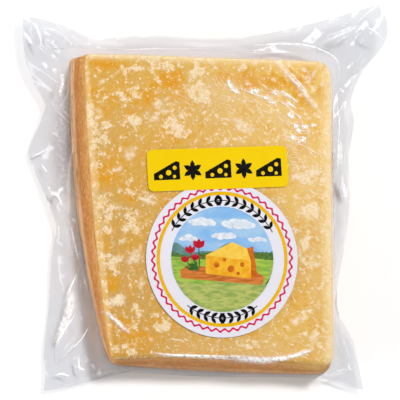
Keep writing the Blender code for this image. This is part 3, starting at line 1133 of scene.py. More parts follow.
def creased(creases: Sequence[Crease], strays: Sequence[Raised]) -> Facets:
    """Folds a sheet along these creases, with stray points between them.

    Args:
        creases: The creases that the folds follow.
        strays: More points, kept where no crease is near.

    Returns:
        The folded sheet.
    """
    corners: list[Raised] = []
    folds = []
    for crease in creases:
        own = crease.corners()
        folds += [(len(corners) + i, len(corners) + i + 1) for i in range(len(own) - 1)]
        corners += own
    ridge = list(corners)

    def free(point: Raised, others: Sequence, gap: float) -> bool:
        """Tells whether a point is farther than the gap from all the others."""
        return all(math.hypot(point[0] - x, point[1] - y) > gap for x, y, _ in others)

    for crease in creases:
        corners += [point for point in crease.flanks() if free(point, ridge, 0.8 * crease.spread_mm)]
    for point in strays:
        if free(point, corners, 1.6):
            corners.append(point)
    return Facets(corners, folds)


# The pieces


@dataclass
class BoxSkin:
    """A closed sheet wrapped round the pack, made from a cut box.

    The box's top becomes the upper face, its bottom the base, and each ring round its sides a line
    round the pack. Cuts are closer together near the corners, where the film is gathered.
    """

    name: str
    columns: tuple[int, ...]
    rows: tuple[int, ...]
    gathering: float = 0.55

    def gathered(self, share: float) -> float:
        """Returns a share of a side, drawn towards the side's ends."""
        return share - self.gathering * math.sin(math.tau * share) / math.tau

    def build(
        self,
        upper: Callable[[float, float], Sequence[float]],
        section: Callable[[float], Sequence[Sequence[float]]],
        lower: Callable[[float, float], Sequence[float]],
        rings: Sequence[int],
    ) -> tuple[Piece, np.ndarray, np.ndarray]:
        """Makes the sheet.

        Args:
            upper: Gives the upper face's point at two shares, across and along.
            section: Gives the points of one section, from the upper face's edge to the base's.
            lower: Gives the base's point at two shares, across and along.
            rings: How often the box's sides are cut, one cutting after another.

        Returns:
            The object, and for each point its place round the pack and its ring's number. Points
            inside the upper face have ring -1, and those inside the base have ring -2.
        """
        skin = Bench.cut_box(self.name, (self.columns, self.rows, rings))
        box = Bench.points(skin)
        ring_count = math.prod(rings)
        across_count, along_count = math.prod(self.columns), math.prod(self.rows)
        points = np.empty_like(box)
        places = np.zeros(len(box))
        numbers = np.zeros(len(box), dtype=int)
        sections: dict[float, Sequence[Sequence[float]]] = {}
        for index, (x, y, z) in enumerate(box):
            column = round((x + 1.0) / 2.0 * across_count)
            row = round((y + 1.0) / 2.0 * along_count)
            across = self.gathered(column / across_count)
            along = self.gathered(row / along_count)
            if 0 < column < across_count and 0 < row < along_count:
                numbers[index] = -1 if z > 0.0 else -2
                points[index] = (upper if z > 0.0 else lower)(across, along)
                continue
            if row == 0:
                place = across
            elif column == across_count:
                place = 1.0 + along
            elif row == along_count:
                place = 3.0 - across
            else:
                place = 4.0 - along
            place = round(place, 9) % SIDES
            if place not in sections:
                sections[place] = section(place)
            ring = round((1.0 - z) / 2.0 * ring_count)
            places[index], numbers[index] = place, ring
            points[index] = sections[place][ring]
        Bench.put_points(skin, points)
        return skin, places, numbers


@dataclass
class CheeseChunk:
    """The cheese: a flat block with softened edges and an uneven skin."""

    form: PackForm
    finish: CheeseFinish = CheeseFinish()
    clearance: float = 0.45 * MM
    top_rounding: float = 1.9 * MM
    base_rounding: float = 1.6 * MM
    floor_gap: float = 0.25 * MM
    arc_steps: int = 6
    wall_steps: int = 17
    heel_steps: int = 5
    plain_heel: float = 3 * MM
    layer_size: tuple[float, ...] = (22 * MM, 22 * MM, 2.0 * MM)
    clouds_mm: tuple[Station, ...] = (
        (-33, 46, 4, 2.2), (-22, 47, 5, 2.5), (-24, 42, 2.6, 2), (-34.5, 36.5, 3.2, 5), (-8, 45, 2.5, 3),
        (-6, 37, 6.5, 5), (9, 47, 2.4, 1.6), (-48, 29, 2.4, 6), (-45.5, 24, 5.5, 2.2),
        (-33, 25.5, 5.5, 3.6), (-15, 25.5, 5, 7), (-45, 17, 3.8, 4.2), (-45.5, 8, 1.6, 1.6),
        (5, 19, 4, 1.2), (-26, -3.5, 3.4, 2.2), (-34, 0, 1.8, 4), (-43, -7, 3.6, 6.5),
        (-42.5, -15.5, 2.4, 2.2), (-33, -13, 5, 5.5), (-41, -28, 4.5, 4), (-38.5, -42.5, 2.8, 2.2),
        (-31.5, -48.5, 3.2, 4.2), (-20.5, -52, 4, 3.4), (-36, -61, 5, 2.4), (35, 7, 6, 4),
        (36, -7.5, 5.5, 4), (35, -19.5, 3.4, 2.8), (38, -27, 4, 3), (36, -46.5, 4.2, 2.2),
        (39.5, -56, 2, 6), (14, -58, 5, 1.8),
    )
    embers_mm: tuple[Station, ...] = (
        (-43, 46, 9, 4.5), (-16, 42.5, 6, 7.5), (-26, 36.5, 6, 3), (21, 42.5, 13, 4.5), (33, 38, 6, 5),
        (37, 43.5, 3, 7), (43.5, 39, 5, 3), (-43.5, 5, 4, 5), (-40, -34, 4.5, 5), (-33.5, -53.5, 3, 3),
        (-3, -57, 10, 2.4),
    )
    crystals_mm: tuple[Station, ...] = (
        (8.2, 27.5, 2.3, 2.2), (11, 24.3, 4.2, 2), (-23, 32, 2, 2), (-20, 29.8, 1.3, 1.5),
        (-24.3, 26, 2.2, 2), (-14.6, 22.6, 2.6, 2.2), (-45.2, 29, 1.7, 1.7), (-33, 14, 2.6, 2.2),
        (-38, 8, 1.9, 1.3), (-26.5, -3.5, 2.2, 1.4), (-32.5, -25.5, 3, 2.6), (-29, -35.5, 1.6, 1.5),
        (-38.5, -42.2, 2, 1.6), (31, 6, 1.8, 1.8), (35, -19.5, 2.4, 2), (31.5, -49.3, 2.6, 1.2),
        (41.8, 4.5, 1.3, 1.3),
    )
    drift_seed: int = 7
    # How strong and how wide the painted highlight along each side of the face is.
    edge_highlight_strengths: tuple[float, ...] = (0.25, 1.0, 0.9, 0.4)
    edge_highlight_widths: tuple[float, ...] = (2.0 * MM, 5.2 * MM, 3.2 * MM, 1.2 * MM)

    def build(self) -> Piece:
        """Makes the chunk and dresses it.

        Returns:
            The finished object.
        """
        skin = BoxSkin("cheese", (10, 11), (10, 13), 0.3)
        rings = self.arc_steps + self.wall_steps + self.heel_steps
        chunk, _, numbers = skin.build(self.face_point, self.section, self.base_point, (rings,))
        points = Bench.points(chunk)
        points, side = self.weathered(points, numbers)
        Bench.put_points(chunk, points)
        Bench.put_attribute(chunk, "side", side)
        drifted = self.drifted(points)
        spots = {"pale": self.clouds_mm, "ember": self.embers_mm, "crystal": self.crystals_mm}
        for name, rows in spots.items():
            Bench.put_attribute(chunk, name, self.ovals(drifted, rows))
        # The painted highlight along the face's edges.
        Bench.put_attribute(chunk, "rim", self.rim(points))
        # Where the film is wrinkled: the cheese's finish paints its glints and sheen there.
        Bench.put_attribute(chunk, "wrinkles", self.form.wrinkles(points) * (1.0 - side))
        chunk.data.materials.append(self.finish.make())
        Bench.shade(chunk, 60)
        return chunk

    def drifted(self, points: np.ndarray) -> np.ndarray:
        """Moves each place a little, so that what is round there is ragged.

        Args:
            points: The points.

        Returns:
            Their moved places, one (x, y) row each.
        """
        noise.seed_set(self.drift_seed)
        moved = []
        for x, y, z in points:
            shift = noise.noise_vector(Vector((x, y, z)) / (4.5 * MM)) * (2.4 * MM)
            shift += noise.noise_vector(Vector((x, y, z)) / (1.6 * MM)) * (0.9 * MM)
            moved.append((x + shift.x, y + shift.y))
        return np.array(moved)

    def ovals(self, places: np.ndarray, rows: Sequence[Sequence[float]]) -> np.ndarray:
        """Returns how far each place is inside any of some ovals: 1 in the middle, 0 outside.

        Args:
            places: The places, one (x, y) row each.
            rows: Each oval's middle and half sizes, in millimetres.

        Returns:
            One number for each place.
        """
        found = np.zeros(len(places))
        for x, y, half_x, half_y in rows:
            away = np.hypot((places[:, 0] / MM - x) / half_x, (places[:, 1] / MM - y) / half_y)
            share = np.clip((1.3 - away) / 0.9, 0.0, 1.0)
            found = np.maximum(found, share * share * (3.0 - 2.0 * share))
        return found

    def rim(self, points: np.ndarray) -> np.ndarray:
        """Finds how much painted highlight each point gets for being near one of the face's edges, for light
        through the rounded edges and the film's sheen where it stands off them.

        Args:
            points: The points.

        Returns:
            One number for each point.
        """
        corners = self.form.top.corners()
        found = np.zeros(len(points))
        for side, (strength, width) in enumerate(zip(self.edge_highlight_strengths, self.edge_highlight_widths)):
            start, end = corners[side], corners[(side + 1) % SIDES]
            way = (end - start).normalized()
            inside = (points[:, 1] - start.y) * way.x - (points[:, 0] - start.x) * way.y
            share = np.clip(1.25 - inside / width, 0.0, 1.0)
            found = np.maximum(found, strength * share * share * (3.0 - 2.0 * share))
        return found

    def face_point(self, across: float, along: float) -> Sequence[float]:
        """Returns a point of the upper face."""
        flat = self.form.top.patch(across, along) * self.form.drawn_in(self.top_rounding)
        return (flat.x, flat.y, self.form.face(flat.x, flat.y) - self.clearance)

    def base_point(self, across: float, along: float) -> Sequence[float]:
        """Returns a point of the base."""
        flat = self.form.base.patch(across, along) * self.form.drawn_in(self.top_rounding)
        return (flat.x, flat.y, self.floor_gap)

    def section(self, place: float) -> list[Sequence[float]]:
        """Draws the section at a place: the face's edge, the side, and the base's edge.

        Args:
            place: The place round the pack.

        Returns:
            The section's points.
        """
        share = self.form.drawn_in(self.top_rounding)
        top, base = self.form.top.point(place), self.form.base.point(place)
        outer = top.normalized()
        upper, lower = top - self.clearance * outer, base - self.clearance * outer
        crown = self.form.face(top.x, top.y) - self.clearance
        points = []
        for step in range(self.arc_steps):
            turn = math.pi / 2 * step / self.arc_steps
            flat = (top * share).lerp(upper, math.sin(turn))
            points.append((flat.x, flat.y, crown - self.top_rounding * (1.0 - math.cos(turn))))
        shoulder, heel = crown - self.top_rounding, self.floor_gap + self.base_rounding
        for step in range(self.wall_steps):
            down = step / self.wall_steps
            flat = upper.lerp(lower, down)
            points.append((flat.x, flat.y, shoulder + (heel - shoulder) * down))
        for step in range(self.heel_steps + 1):
            turn = math.pi / 2 * step / self.heel_steps
            flat = lower.lerp(base * share, 1.0 - math.cos(turn))
            points.append((flat.x, flat.y, self.floor_gap + self.base_rounding * (1.0 - math.sin(turn))))
        return points

    def weathered(self, points: np.ndarray, numbers: np.ndarray) -> tuple[np.ndarray, np.ndarray]:
        """Roughens the block.

        Args:
            points: The block's points.
            numbers: Their rings' numbers.

        Returns:
            The moved points, and how far each belongs to the sides, from 0 to 1.
        """
        side = np.clip((numbers - self.arc_steps * 0.5) / (self.arc_steps * 0.8), 0.0, 1.0)
        side[numbers < 0] = 0.0
        roughened = points.copy()
        for index, point in enumerate(points):
            if numbers[index] == -2:
                continue
            fine = noise.fractal(Vector(point) / (2.2 * MM), 0.8, 2.0, 3)
            broad = noise.noise(Vector(point) / (11 * MM))
            roughened[index, 2] -= (1.0 - side[index]) * (0.10 * MM * abs(fine) + 0.05 * MM * broad)
            if side[index] > 0.0 and point[2] > self.plain_heel:
                squeezed = [value / size for value, size in zip(point, self.layer_size)]
                layer = noise.fractal(Vector(squeezed), 0.8, 2.0, 3)
                inwards = Vector((point[0], point[1], 0.0)).normalized()
                dent = side[index] * (0.65 * MM * abs(layer) + 0.15 * MM * (1.0 + broad))
                roughened[index, 0] -= dent * inwards.x
                roughened[index, 1] -= dent * inwards.y
        return roughened, side


@dataclass
class FilmBag:
    """The bag: one closed envelope of film, drawn tight over the cheese and creased round it."""

    form: PackForm
    keep_flat: Callable[[np.ndarray], np.ndarray]
    finish: FilmFinish = FilmFinish()
    edge_rounding: float = 1.5 * MM
    ply_gap: float = 0.5 * MM
    floor_gap: float = 0.12 * MM
    hollow: float = 1.5
    arc_steps: int = 5
    tent_steps: int = 15
    margin_steps: int = 26
    under_steps: int = 6
    folds: tuple[Raised, ...] = (
        (0.03, 0.035, 1.4), (0.1, 0.04, 0.7), (0.96, 0.04, 1.2), (1.03, 0.03, 1), (1.12, 0.04, -1),
        (1.21, 0.05, 2.2), (1.4, 0.06, -1), (1.745, 0.05, 1.8), (1.88, 0.04, -1.2), (1.96, 0.03, 1.6),
        (2.03, 0.03, 1.8), (2.12, 0.05, -0.8), (2.3, 0.08, 0.8), (2.8, 0.05, 1.8), (2.9, 0.03, -1.2),
        (2.97, 0.03, 1.6), (3.04, 0.03, -1.2), (3.12, 0.04, 1.2), (3.25, 0.05, 2.2), (3.37, 0.05, -1),
        (3.57, 0.05, 2.2), (3.75, 0.06, -1), (3.88, 0.04, 1), (3.965, 0.03, -1.2),
    )
    margin_creases: tuple[Crease, ...] = (
        Crease(((-57.7, 30.9), (-57.4, 37), (-57.4, 44.4)), 3.2, 1.3),
        Crease(((-57.4, 44.4), (-60.4, 34.7)), 2, 0.7), Crease(((-57.7, 30.9), (-55, 38.7)), 2, 0.9),
        Crease(((-57.5, 31.1), (-60, 24), (-62.1, 16.4)), 3, 1),
        Crease(((-57.7, 30.9), (-62.9, 33.2)), 2.2, 0.8),
        Crease(((-57, 29), (-54.9, 21.4), (-53.7, 12.1), (-54.4, -3.3), (-54.2, -9)), 2, 1.5),
        Crease(((-54, -10.5), (-52.6, -20.4), (-49.9, -29.6)), 2, 1.5),
        Crease(((-49.5, -30.6), (-52, -40), (-54, -48.9)), 2.6, 1.3),
        Crease(((-49.5, -30.6), (-47.8, -42), (-46.3, -52.7)), 2, 1.4),
        Crease(((-49.5, -30.6), (-55.7, -24.2)), 2.2, 0.9),
        Crease(((-60.7, 2), (-56.8, -2.5), (-58.3, -5.2)), 1.8, 1),
        Crease(((-68.4, 11.7), (-65, 14.6), (-61.9, 16.5)), 2.2, 0.9),
        Crease(((-50.6, -33.5), (-53.4, -43), (-58.3, -58.5)), 4.8, 2),
        Crease(((-56.9, -69.8), (-55, -68.7), (-53.1, -69.8)), 1.4, 0.7),
        Crease(((-46.3, -53.4), (-51, -58.5), (-56.3, -64.1)), 2.4, 1.1),
        Crease(((-48.6, -58.4), (-49.7, -64.9), (-47.4, -67.1)), 1.8, 1),
        Crease(((-46.6, -62.2), (-43.5, -65.8), (-41.2, -69.7)), 1.8, 1.1),
        Crease(((-40.8, -68.6), (-33, -67.1)), 1.6, 0.9),
        Crease(((-68.3, 62.2), (-66.3, 58.8), (-65.2, 54.2)), 2.4, 1.3),
        Crease(((-66.4, 61.1), (-63, 60.9), (-59.4, 59.8)), 2.2, 1.1),
        Crease(((-55.9, 54.9), (-61.7, 51.7)), 2.2, 1), Crease(((-55.9, 54.9), (-57.8, 61.4)), 2, 1),
        Crease(((-55.9, 54.9), (-53.9, 50), (-57, 45.3)), 2.4, 1.3),
        Crease(((-45, 58.4), (-50, 54), (-53.1, 50.8)), 2, 1.3),
        Crease(((-45, 58.4), (-53.9, 59.6)), 2.2, 1),
        Crease(((59.9, 65.2), (52, 61.8), (44.8, 58.7)), 3, 1.5),
        Crease(((59.9, 65.2), (66.9, 62.3)), 2.4, 1.3),
        Crease(((59.9, 65.2), (61.9, 53.4), (52.9, 43.3)), 3.2, 1.6),
        Crease(((59.9, 65.2), (55, 60), (50.9, 55)), 3.5, 2.1),
        Crease(((59.9, 65.2), (50, 67.5), (43, 66)), 2.6, 0.8),
        Crease(((25.7, 58.9), (36.7, 57.7), (42.7, 56.7), (45.6, 54.4)), 2, 1.6),
        Crease(((-5.2, 56), (8.7, 55.7), (20.8, 54.5)), 2, 1.1), Crease(((53, 43.3), (57, 33.9)), 2.2, 1.1),
        Crease(((52.9, -3.2), (55, -14), (56.5, -24.7)), 2.4, 1.1),
        Crease(((52.8, 22.1), (54, 10), (53.9, -1.4)), 2.2, 1.3),
        Crease(((54.6, -52), (59.5, -60.5)), 2.2, 1), Crease(((47.2, -69.9), (56.6, -66.8)), 2, 1),
        Crease(((53.8, -57.8), (58.7, -67.6), (63.5, -74.6)), 2.4, 1.2),
    )
    face_creases: tuple[Crease, ...] = (
        Crease(((21.1, 51.3), (33, 40.1), (41, 31.1)), 1.5, 0.55),
        Crease(((24.9, 52.2), (34.5, 42.6), (38.4, 38.4)), 1.2, 0.4),
        Crease(((41.1, 49.6), (36.2, 42.5)), 1.4, 0.4), Crease(((37.9, 48.8), (35, 44)), 1.2, 0.3),
        Crease(((-42.1, -46.5), (-35.5, -53.2), (-26.7, -60.6)), 1.5, 0.6),
        Crease(((-25.9, -62.4), (-6.6, -63), (13, -63.9), (22.4, -64.7)), 1.6, 0.6),
        Crease(((22.4, -64.9), (37.9, -60.3), (41.9, -57.2)), 1.6, 0.6),
    )
    # Painted light on the film: lines and patches above 0 are painted highlights of crease ridges and glints,
    # and those below 0 are painted shade.
    painted_lights: tuple[PaintedLight, ...] = (
        PaintedLight(((-67.7, 63.1), (-66.4, 60.1), (-64.6, 55)), 0.6, 1),
        PaintedLight(((-65.6, 61.7), (-62.1, 61.4), (-58.6, 60.4)), 0.4, 0.9),
        PaintedLight(((-58.6, 60.4), (-54.7, 56.7), (-53.1, 54.4)), 0.4, 0.9),
        PaintedLight(((-61.9, 56.8), (-60.3, 56.4)), 1.2, 0.6), PaintedLight(((-64.4, 53.8), (-55.1, 54)), 0.35, -0.6),
        PaintedLight(((-56.6, 45.6), (-57.3, 40), (-58.5, 35)), 0.8, 1),
        PaintedLight(((-47, 61.6), (-45.6, 60.4)), 1.2, -0.35),
        PaintedLight(((62, 67.4), (53.1, 63.1), (45.3, 59.3)), 0.55, 0.85),
        PaintedLight(((61, 66.6), (55.2, 62.4), (49.4, 58.3)), 0.5, 0.7),
        PaintedLight(((59.5, 67.2), (46.9, 61.9)), 0.5, 0.6), PaintedLight(((62.6, 66.9), (70.4, 62.6)), 0.55, 1),
        PaintedLight(((60.3, 64), (58, 59.6)), 2.6, -0.35),
        PaintedLight(((16, 57.8), (30.6, 59), (40.8, 58.4), (45.9, 56.4), (51.6, 52.6), (54.1, 48.1)), 0.65, 1),
        PaintedLight(((63.4, 56.7), (61.3, 48.3)), 1.1, 0.35), PaintedLight(((-58.9, 30.4), (-60.8, 34.9)), 0.4, 0.7),
        PaintedLight(((-58.4, 30.4), (-55.2, 36.5), (-53.9, 47)), 0.6, 0.8),
        PaintedLight(((-58.9, 30.4), (-53.8, 24.7)), 0.6, 0.9), PaintedLight(((-67.9, 12.9), (-60.7, 16.5)), 0.45, 0.9),
        PaintedLight(((-63.8, 10.7), (-61.5, 6.9)), 0.45, 0.8),
        PaintedLight(((-60.9, -0.3), (-58.3, -1.3), (-55.4, 2.5)), 0.75, 1),
        PaintedLight(((-58.2, -1.2), (-55.7, -6.2)), 0.6, 1),
        PaintedLight(((-53.2, 26), (-52.8, 17), (-54.2, 9), (-54.4, -9)), 0.65, 1),
        PaintedLight(((-54.4, -11), (-52, -19.6), (-49.3, -29.2)), 0.65, 1),
        PaintedLight(((-50.2, -30), (-53.7, -39.5)), 0.6, 1), PaintedLight(((-48.9, -30.6), (-46.3, -38.9)), 0.35, 0.8),
        PaintedLight(((-57.5, -12), (-57.1, -19)), 0.45, 0.6),
        PaintedLight(((-51.9, -37.4), (-53.2, -45.2), (-55.4, -51.3), (-58.1, -58.5)), 1.5, 0.9),
        PaintedLight(((-50.4, -46), (-54.2, -51.6), (-58.4, -58.6)), 0.35, 0.9),
        PaintedLight(((-45.7, -51), (-48.8, -56.2), (-56.6, -64.8)), 0.35, 0.9),
        PaintedLight(((-49.9, -61.6), (-49.2, -67.2), (-46.4, -68.1)), 0.6, 1),
        PaintedLight(((-58.4, -69.9), (-55.7, -69.2), (-52.6, -70.3)), 0.5, 1),
        PaintedLight(((-41.6, -66.9), (-41, -70.3)), 1, 0.9), PaintedLight(((-58.5, -57.5), (-58.4, -67)), 0.35, -0.6),
        # Painted shadow: the cheese's shadow on the film and table in the band to its left.
        PaintedLight(((-56.5, 50), (-56.2, 20), (-54.5, -8)), 3.2, -1),
        PaintedLight(((-54.5, 0), (-51.5, -25), (-47.5, -45)), 3, -0.5),
        PaintedLight(((54.2, -53), (60.6, -68.3)), 0.5, 0.5),
        PaintedLight(((45.9, -69.4), (52.1, -67.9), (58.2, -67)), 0.5, 1),
        PaintedLight(((51.8, 39.8), (52.6, 29.9), (52.5, 6.6)), 0.35, 0.9),
        PaintedLight(((54, 22.3), (53.7, 12.4)), 1.2, 0.9), PaintedLight(((54.3, 9.3), (57.5, -1)), 1.1, 1),
        PaintedLight(((53.3, 4.7), (57, 2.5)), 0.8, 0.8), PaintedLight(((22, 51.8), (33, 40.3), (41.6, 30)), 1.15, 0.62),
        PaintedLight(((26.8, 48.6), (33.5, 41.2), (36.5, 37)), 0.35, 0.5),
        PaintedLight(((41.3, 50), (34, 39.2)), 0.9, 0.42), PaintedLight(((37, 46.8), (34.6, 43)), 0.35, 0.7),
        PaintedLight(((3.9, 43.2), (5.6, 40.2), (9.4, 36.6)), 1.2, 0.9, True),
        PaintedLight(((12.6, 38.6), (17.6, 38.3)), 1.3, 0.84, True),
        PaintedLight(((16.6, 37.2), (20.4, 35.6), (24.6, 33)), 1.3, 0.78, True),
        PaintedLight(((8.4, 39.6), (15, 37.2), (21, 35.4)), 0.5, 0.55),
        PaintedLight(((19.4, 39.4), (24.4, 38.6), (29, 35.4)), 0.5, 0.6),
        PaintedLight(((23.4, 35.6), (27.6, 33.4), (30.6, 30)), 0.5, 0.65),
        PaintedLight(((30, 31.8), (33, 28.6), (34.6, 25.6)), 0.5, 0.6),
        PaintedLight(((27.2, 27.4), (31.6, 25.6), (36.8, 25.4)), 0.55, 0.55),
        PaintedLight(((28.8, 24.6), (34.4, 23.6), (38.6, 23.8)), 0.5, 0.55),
        PaintedLight(((27.6, 22.8), (32, 21.2), (36.6, 21)), 0.5, 0.6),
        PaintedLight(((34, 18), (38.4, 15.6), (41.6, 14.4)), 0.5, 0.5),
        PaintedLight(((25, 39.2), (28.6, 37.2), (32.8, 33.9)), 0.5, 0.95),
        PaintedLight(((21, 38.6), (25.5, 36.4)), 0.5, 0.8), PaintedLight(((27.4, 35.2), (31.8, 32)), 0.55, 0.9),
        PaintedLight(((28, 30.8), (30.9, 28)), 1.5, 0.85, True),
        PaintedLight(((30.4, 26.7), (32.4, 24.7)), 1.1, 0.85, True),
        PaintedLight(((33.8, 26), (36.2, 24.4)), 1.2, 0.8, True), PaintedLight(((37, 26.6), (39.8, 25.2)), 1.1, 0.7, True),
        PaintedLight(((31, 23.7), (34.4, 22.8)), 0.95, 0.85, True), PaintedLight(((29, 21.8), (31, 19.8)), 0.9, 0.85, True),
        PaintedLight(((33.2, 19.2), (36.2, 21.2)), 1.35, 0.85, True),
        PaintedLight(((31, 18.8), (33.4, 19.3)), 0.8, 0.85, True),
        PaintedLight(((-43.6, -45.6), (-38.2, -50.6), (-33.2, -54.9)), 0.75, 0.95),
        PaintedLight(((-27, -61.4), (-16, -62.4), (-2, -62.6), (10, -62.8)), 0.45, 0.7),
        PaintedLight(((-26, -62.3), (-10, -62.9), (3, -63.5), (17, -64.3)), 0.72, 0.72),
        PaintedLight(((4, -63.4), (20, -64.3), (31, -62.2)), 1.25, 1),
        PaintedLight(((22, -65), (30, -62.6), (38.4, -60)), 0.8, 1),
        PaintedLight(((46.9, 46), (47.5, 0), (47.6, -62)), 1.2, 0.45),
    )
    line_limit_mm: float = 0.7
    scatter_mm: Point = (82, 85)
    corner_reach: float = 14 * MM
    crinkle_turn: float = math.radians(-34.0)
    crinkle_stretch: float = 0.42
    stray_seed: int = 11
    crumple_seed: int = 4
    crinkle_seed: int = 5

    def build(self) -> Piece:
        """Makes the bag and dresses it.

        Returns:
            The finished object.
        """
        rings = self.arc_steps + self.tent_steps + 2 * self.margin_steps + self.under_steps
        skin = BoxSkin("film", (10, 15), (10, 18), 0.25)
        bag, _, numbers = skin.build(self.face_point, self.section, self.base_point, (2, rings // 2))
        points = Bench.points(bag)
        flat = points[:, :2].copy()
        margin, face = self.margin_share(numbers), self.face_share(numbers) * (1.0 - self.keep_flat(flat))
        broad = creased(self.margin_creases, self.strays(self.stray_seed, 5.0, 0.30))
        small = Facets(self.strays(self.crumple_seed, 2.6, 0.14))
        points[:, 2] += margin * (broad.lift(flat) + self.corner_share(flat) * small.lift(flat))
        tight = creased(self.face_creases, [])
        crinkles, region = self.crinkles(), self.form.wrinkles(flat)
        points[:, 2] += face * (tight.lift(flat) + region * crinkles.lift(self.along_crinkles(flat)))
        points[:, 2] = np.maximum(points[:, 2], self.floor_gap)
        Bench.put_points(bag, points)
        Bench.put_attribute(bag, "margin", self.doubled_share(numbers))
        for name, values in self.painted_light_values(flat, numbers).items():
            Bench.put_attribute(bag, name, values)
        Bench.put_attribute(bag, "crinkle", np.clip(face * region, 0.0, 1.0))
        self.close_base(bag, numbers)
        bag.data.materials.append(self.finish.make())
        Bench.shade(bag, 80)
        return bag

    def close_base(self, bag: Piece, numbers: np.ndarray) -> None:
        """Makes one face of the flat film under the cheese.

        Args:
            bag: The bag.
            numbers: The rings' numbers of its points.
        """
        Bench.take_up(bag)
        inner = numbers == -2
        bpy.ops.object.mode_set(mode="EDIT")
        bpy.ops.mesh.select_mode(type="FACE")
        bpy.ops.mesh.select_all(action="DESELECT")
        shape = bmesh.from_edit_mesh(bag.data)
        for face in shape.faces:
            face.select_set(any(inner[vertex.index] for vertex in face.verts))
        bmesh.update_edit_mesh(bag.data)
        bpy.ops.mesh.dissolve_faces()
        bpy.ops.object.mode_set(mode="OBJECT")

    def face_point(self, across: float, along: float) -> Sequence[float]:
        """Returns a point of the film on the upper face."""
        flat = self.form.top.patch(across, along) * self.form.drawn_in(self.edge_rounding)
        return (flat.x, flat.y, self.form.face(flat.x, flat.y))

    def base_point(self, across: float, along: float) -> Sequence[float]:
        """Returns a point of the film under the cheese."""
        flat = self.form.base.patch(across, along) * self.form.drawn_in(self.edge_rounding)
        return (flat.x, flat.y, self.floor_gap)

    def fold_height(self, place: float) -> float:
        """Finds how far the broad folds lift the margin, half way across it.

        Args:
            place: The place round the pack.

        Returns:
            The lift.
        """
        lift = 0.0
        for at, half_width, height in self.folds:
            away = abs((place - at + SIDES / 2) % SIDES - SIDES / 2)
            lift += height * MM * smooth_step(1.0 - away / half_width)
        return lift

    def section(self, place: float) -> list[Sequence[float]]:
        """Draws the film's section at a place, out over the edge to the rim and back underneath.

        Args:
            place: The place round the pack.

        Returns:
            The section's points.
        """
        form = self.form
        top, base = form.top.point(place), form.base.point(place)
        share = form.drawn_in(self.edge_rounding)
        rim, rim_height = form.rim(place)
        root, root_height, reach = form.root(place)
        outwards = form.outwards(place)
        shoulder = form.face(top.x, top.y) - self.edge_rounding
        points: list[Sequence[float]] = []

        def add(flat: Vector, height: float) -> None:
            """Adds a point to the section."""
            points.append((flat.x, flat.y, height))

        for step in range(self.arc_steps):
            turn = math.pi / 2 * step / self.arc_steps
            add((top * share).lerp(top, math.sin(turn)), shoulder + self.edge_rounding * math.cos(turn))
        for step in range(self.tent_steps):
            down = step / self.tent_steps
            height = shoulder + (root_height + self.ply_gap / 2 - shoulder) * down
            add(form.wall(place, height) + reach * down**self.hollow * outwards, height)
        fold = self.fold_height(place)

        def across_margin(ring: float, ply: float) -> None:
            """Adds a point of the margin's upper ply (1) or lower ply (-1), ring of the way to the rim."""
            lift = fold * math.sin(math.pi * ring) ** 0.8 if ring < 1.0 else 0.0
            height = root_height + (rim_height - root_height) * smooth_step(ring) + lift
            height = max(height, self.floor_gap + self.ply_gap)
            gap = self.ply_gap / 2 * math.sqrt(max(0.0, 1.0 - ring))
            add(root.lerp(rim, ring), height + ply * gap)

        for step in range(self.margin_steps):
            across_margin(step / self.margin_steps, 1.0)
        for step in range(self.margin_steps + 1):
            across_margin(1.0 - step / self.margin_steps, -1.0)
        for step in range(1, self.under_steps):
            down = step / self.under_steps
            height = root_height * (1.0 - down)
            away = reach * (1.0 - down) ** 2
            add(form.wall(place, height) + away * outwards, max(height, self.floor_gap))
        add(base * share, self.floor_gap)
        return points

    def margin_share(self, numbers: np.ndarray) -> np.ndarray:
        """Returns how far the margin's creases reach each point, by its ring's number."""
        start = self.arc_steps + self.tent_steps
        end = start + 2 * self.margin_steps
        return np.interp(numbers, (start - 0.4 * self.tent_steps, start, end, end + 2), (0, 1, 1, 0))

    def face_share(self, numbers: np.ndarray) -> np.ndarray:
        """Returns how far the face's creases reach each point, by its ring's number."""
        return np.interp(numbers, (-2, -1, 0, self.arc_steps), (0, 1, 1, 0))

    def doubled_share(self, numbers: np.ndarray) -> np.ndarray:
        """Returns how far each point belongs to the margin, where the film lies double."""
        start = self.arc_steps + self.tent_steps
        end = start + 2 * self.margin_steps
        return np.interp(numbers, (start - 0.45 * self.tent_steps, start, end, end + 1), (0, 1, 1, 0.5))

    def painted_light_values(self, places: np.ndarray, numbers: np.ndarray) -> dict[str, np.ndarray]:
        """Finds the film's painted highlights and painted shade on its upper ply.

        Args:
            places: The points' places, one (x, y) row each.
            numbers: Their rings' numbers.

        Returns:
            Numbers for each point: its distance from the nearest line in widths, left or right of it;
            that line's tone; and the tones of the broad patches and of the broken ones.
        """
        across, tone, patch, broken = np.full(len(places), 9.0), *(np.zeros(len(places)) for _ in range(3))
        for mark in self.painted_lights:
            away, taper = mark.reach(places)
            if mark.broken:
                broken = np.maximum(broken, mark.tone * taper * np.exp(-(away**2)))
            elif mark.width_mm < self.line_limit_mm:
                closer = np.abs(away) < np.abs(across)
                across[closer] = away[closer]
                tone[closer] = (mark.tone * taper * np.exp(-((away / 3.0) ** 2)))[closer]
            else:
                glow = mark.tone * taper * np.exp(-(away**2))
                patch = np.where(np.abs(glow) > np.abs(patch), glow, patch)
        last = self.arc_steps + self.tent_steps + self.margin_steps
        shown = (numbers > -2) & (numbers < last)
        return {"across": across, "tone": tone * shown, "patch": patch * shown, "broken": broken * shown}

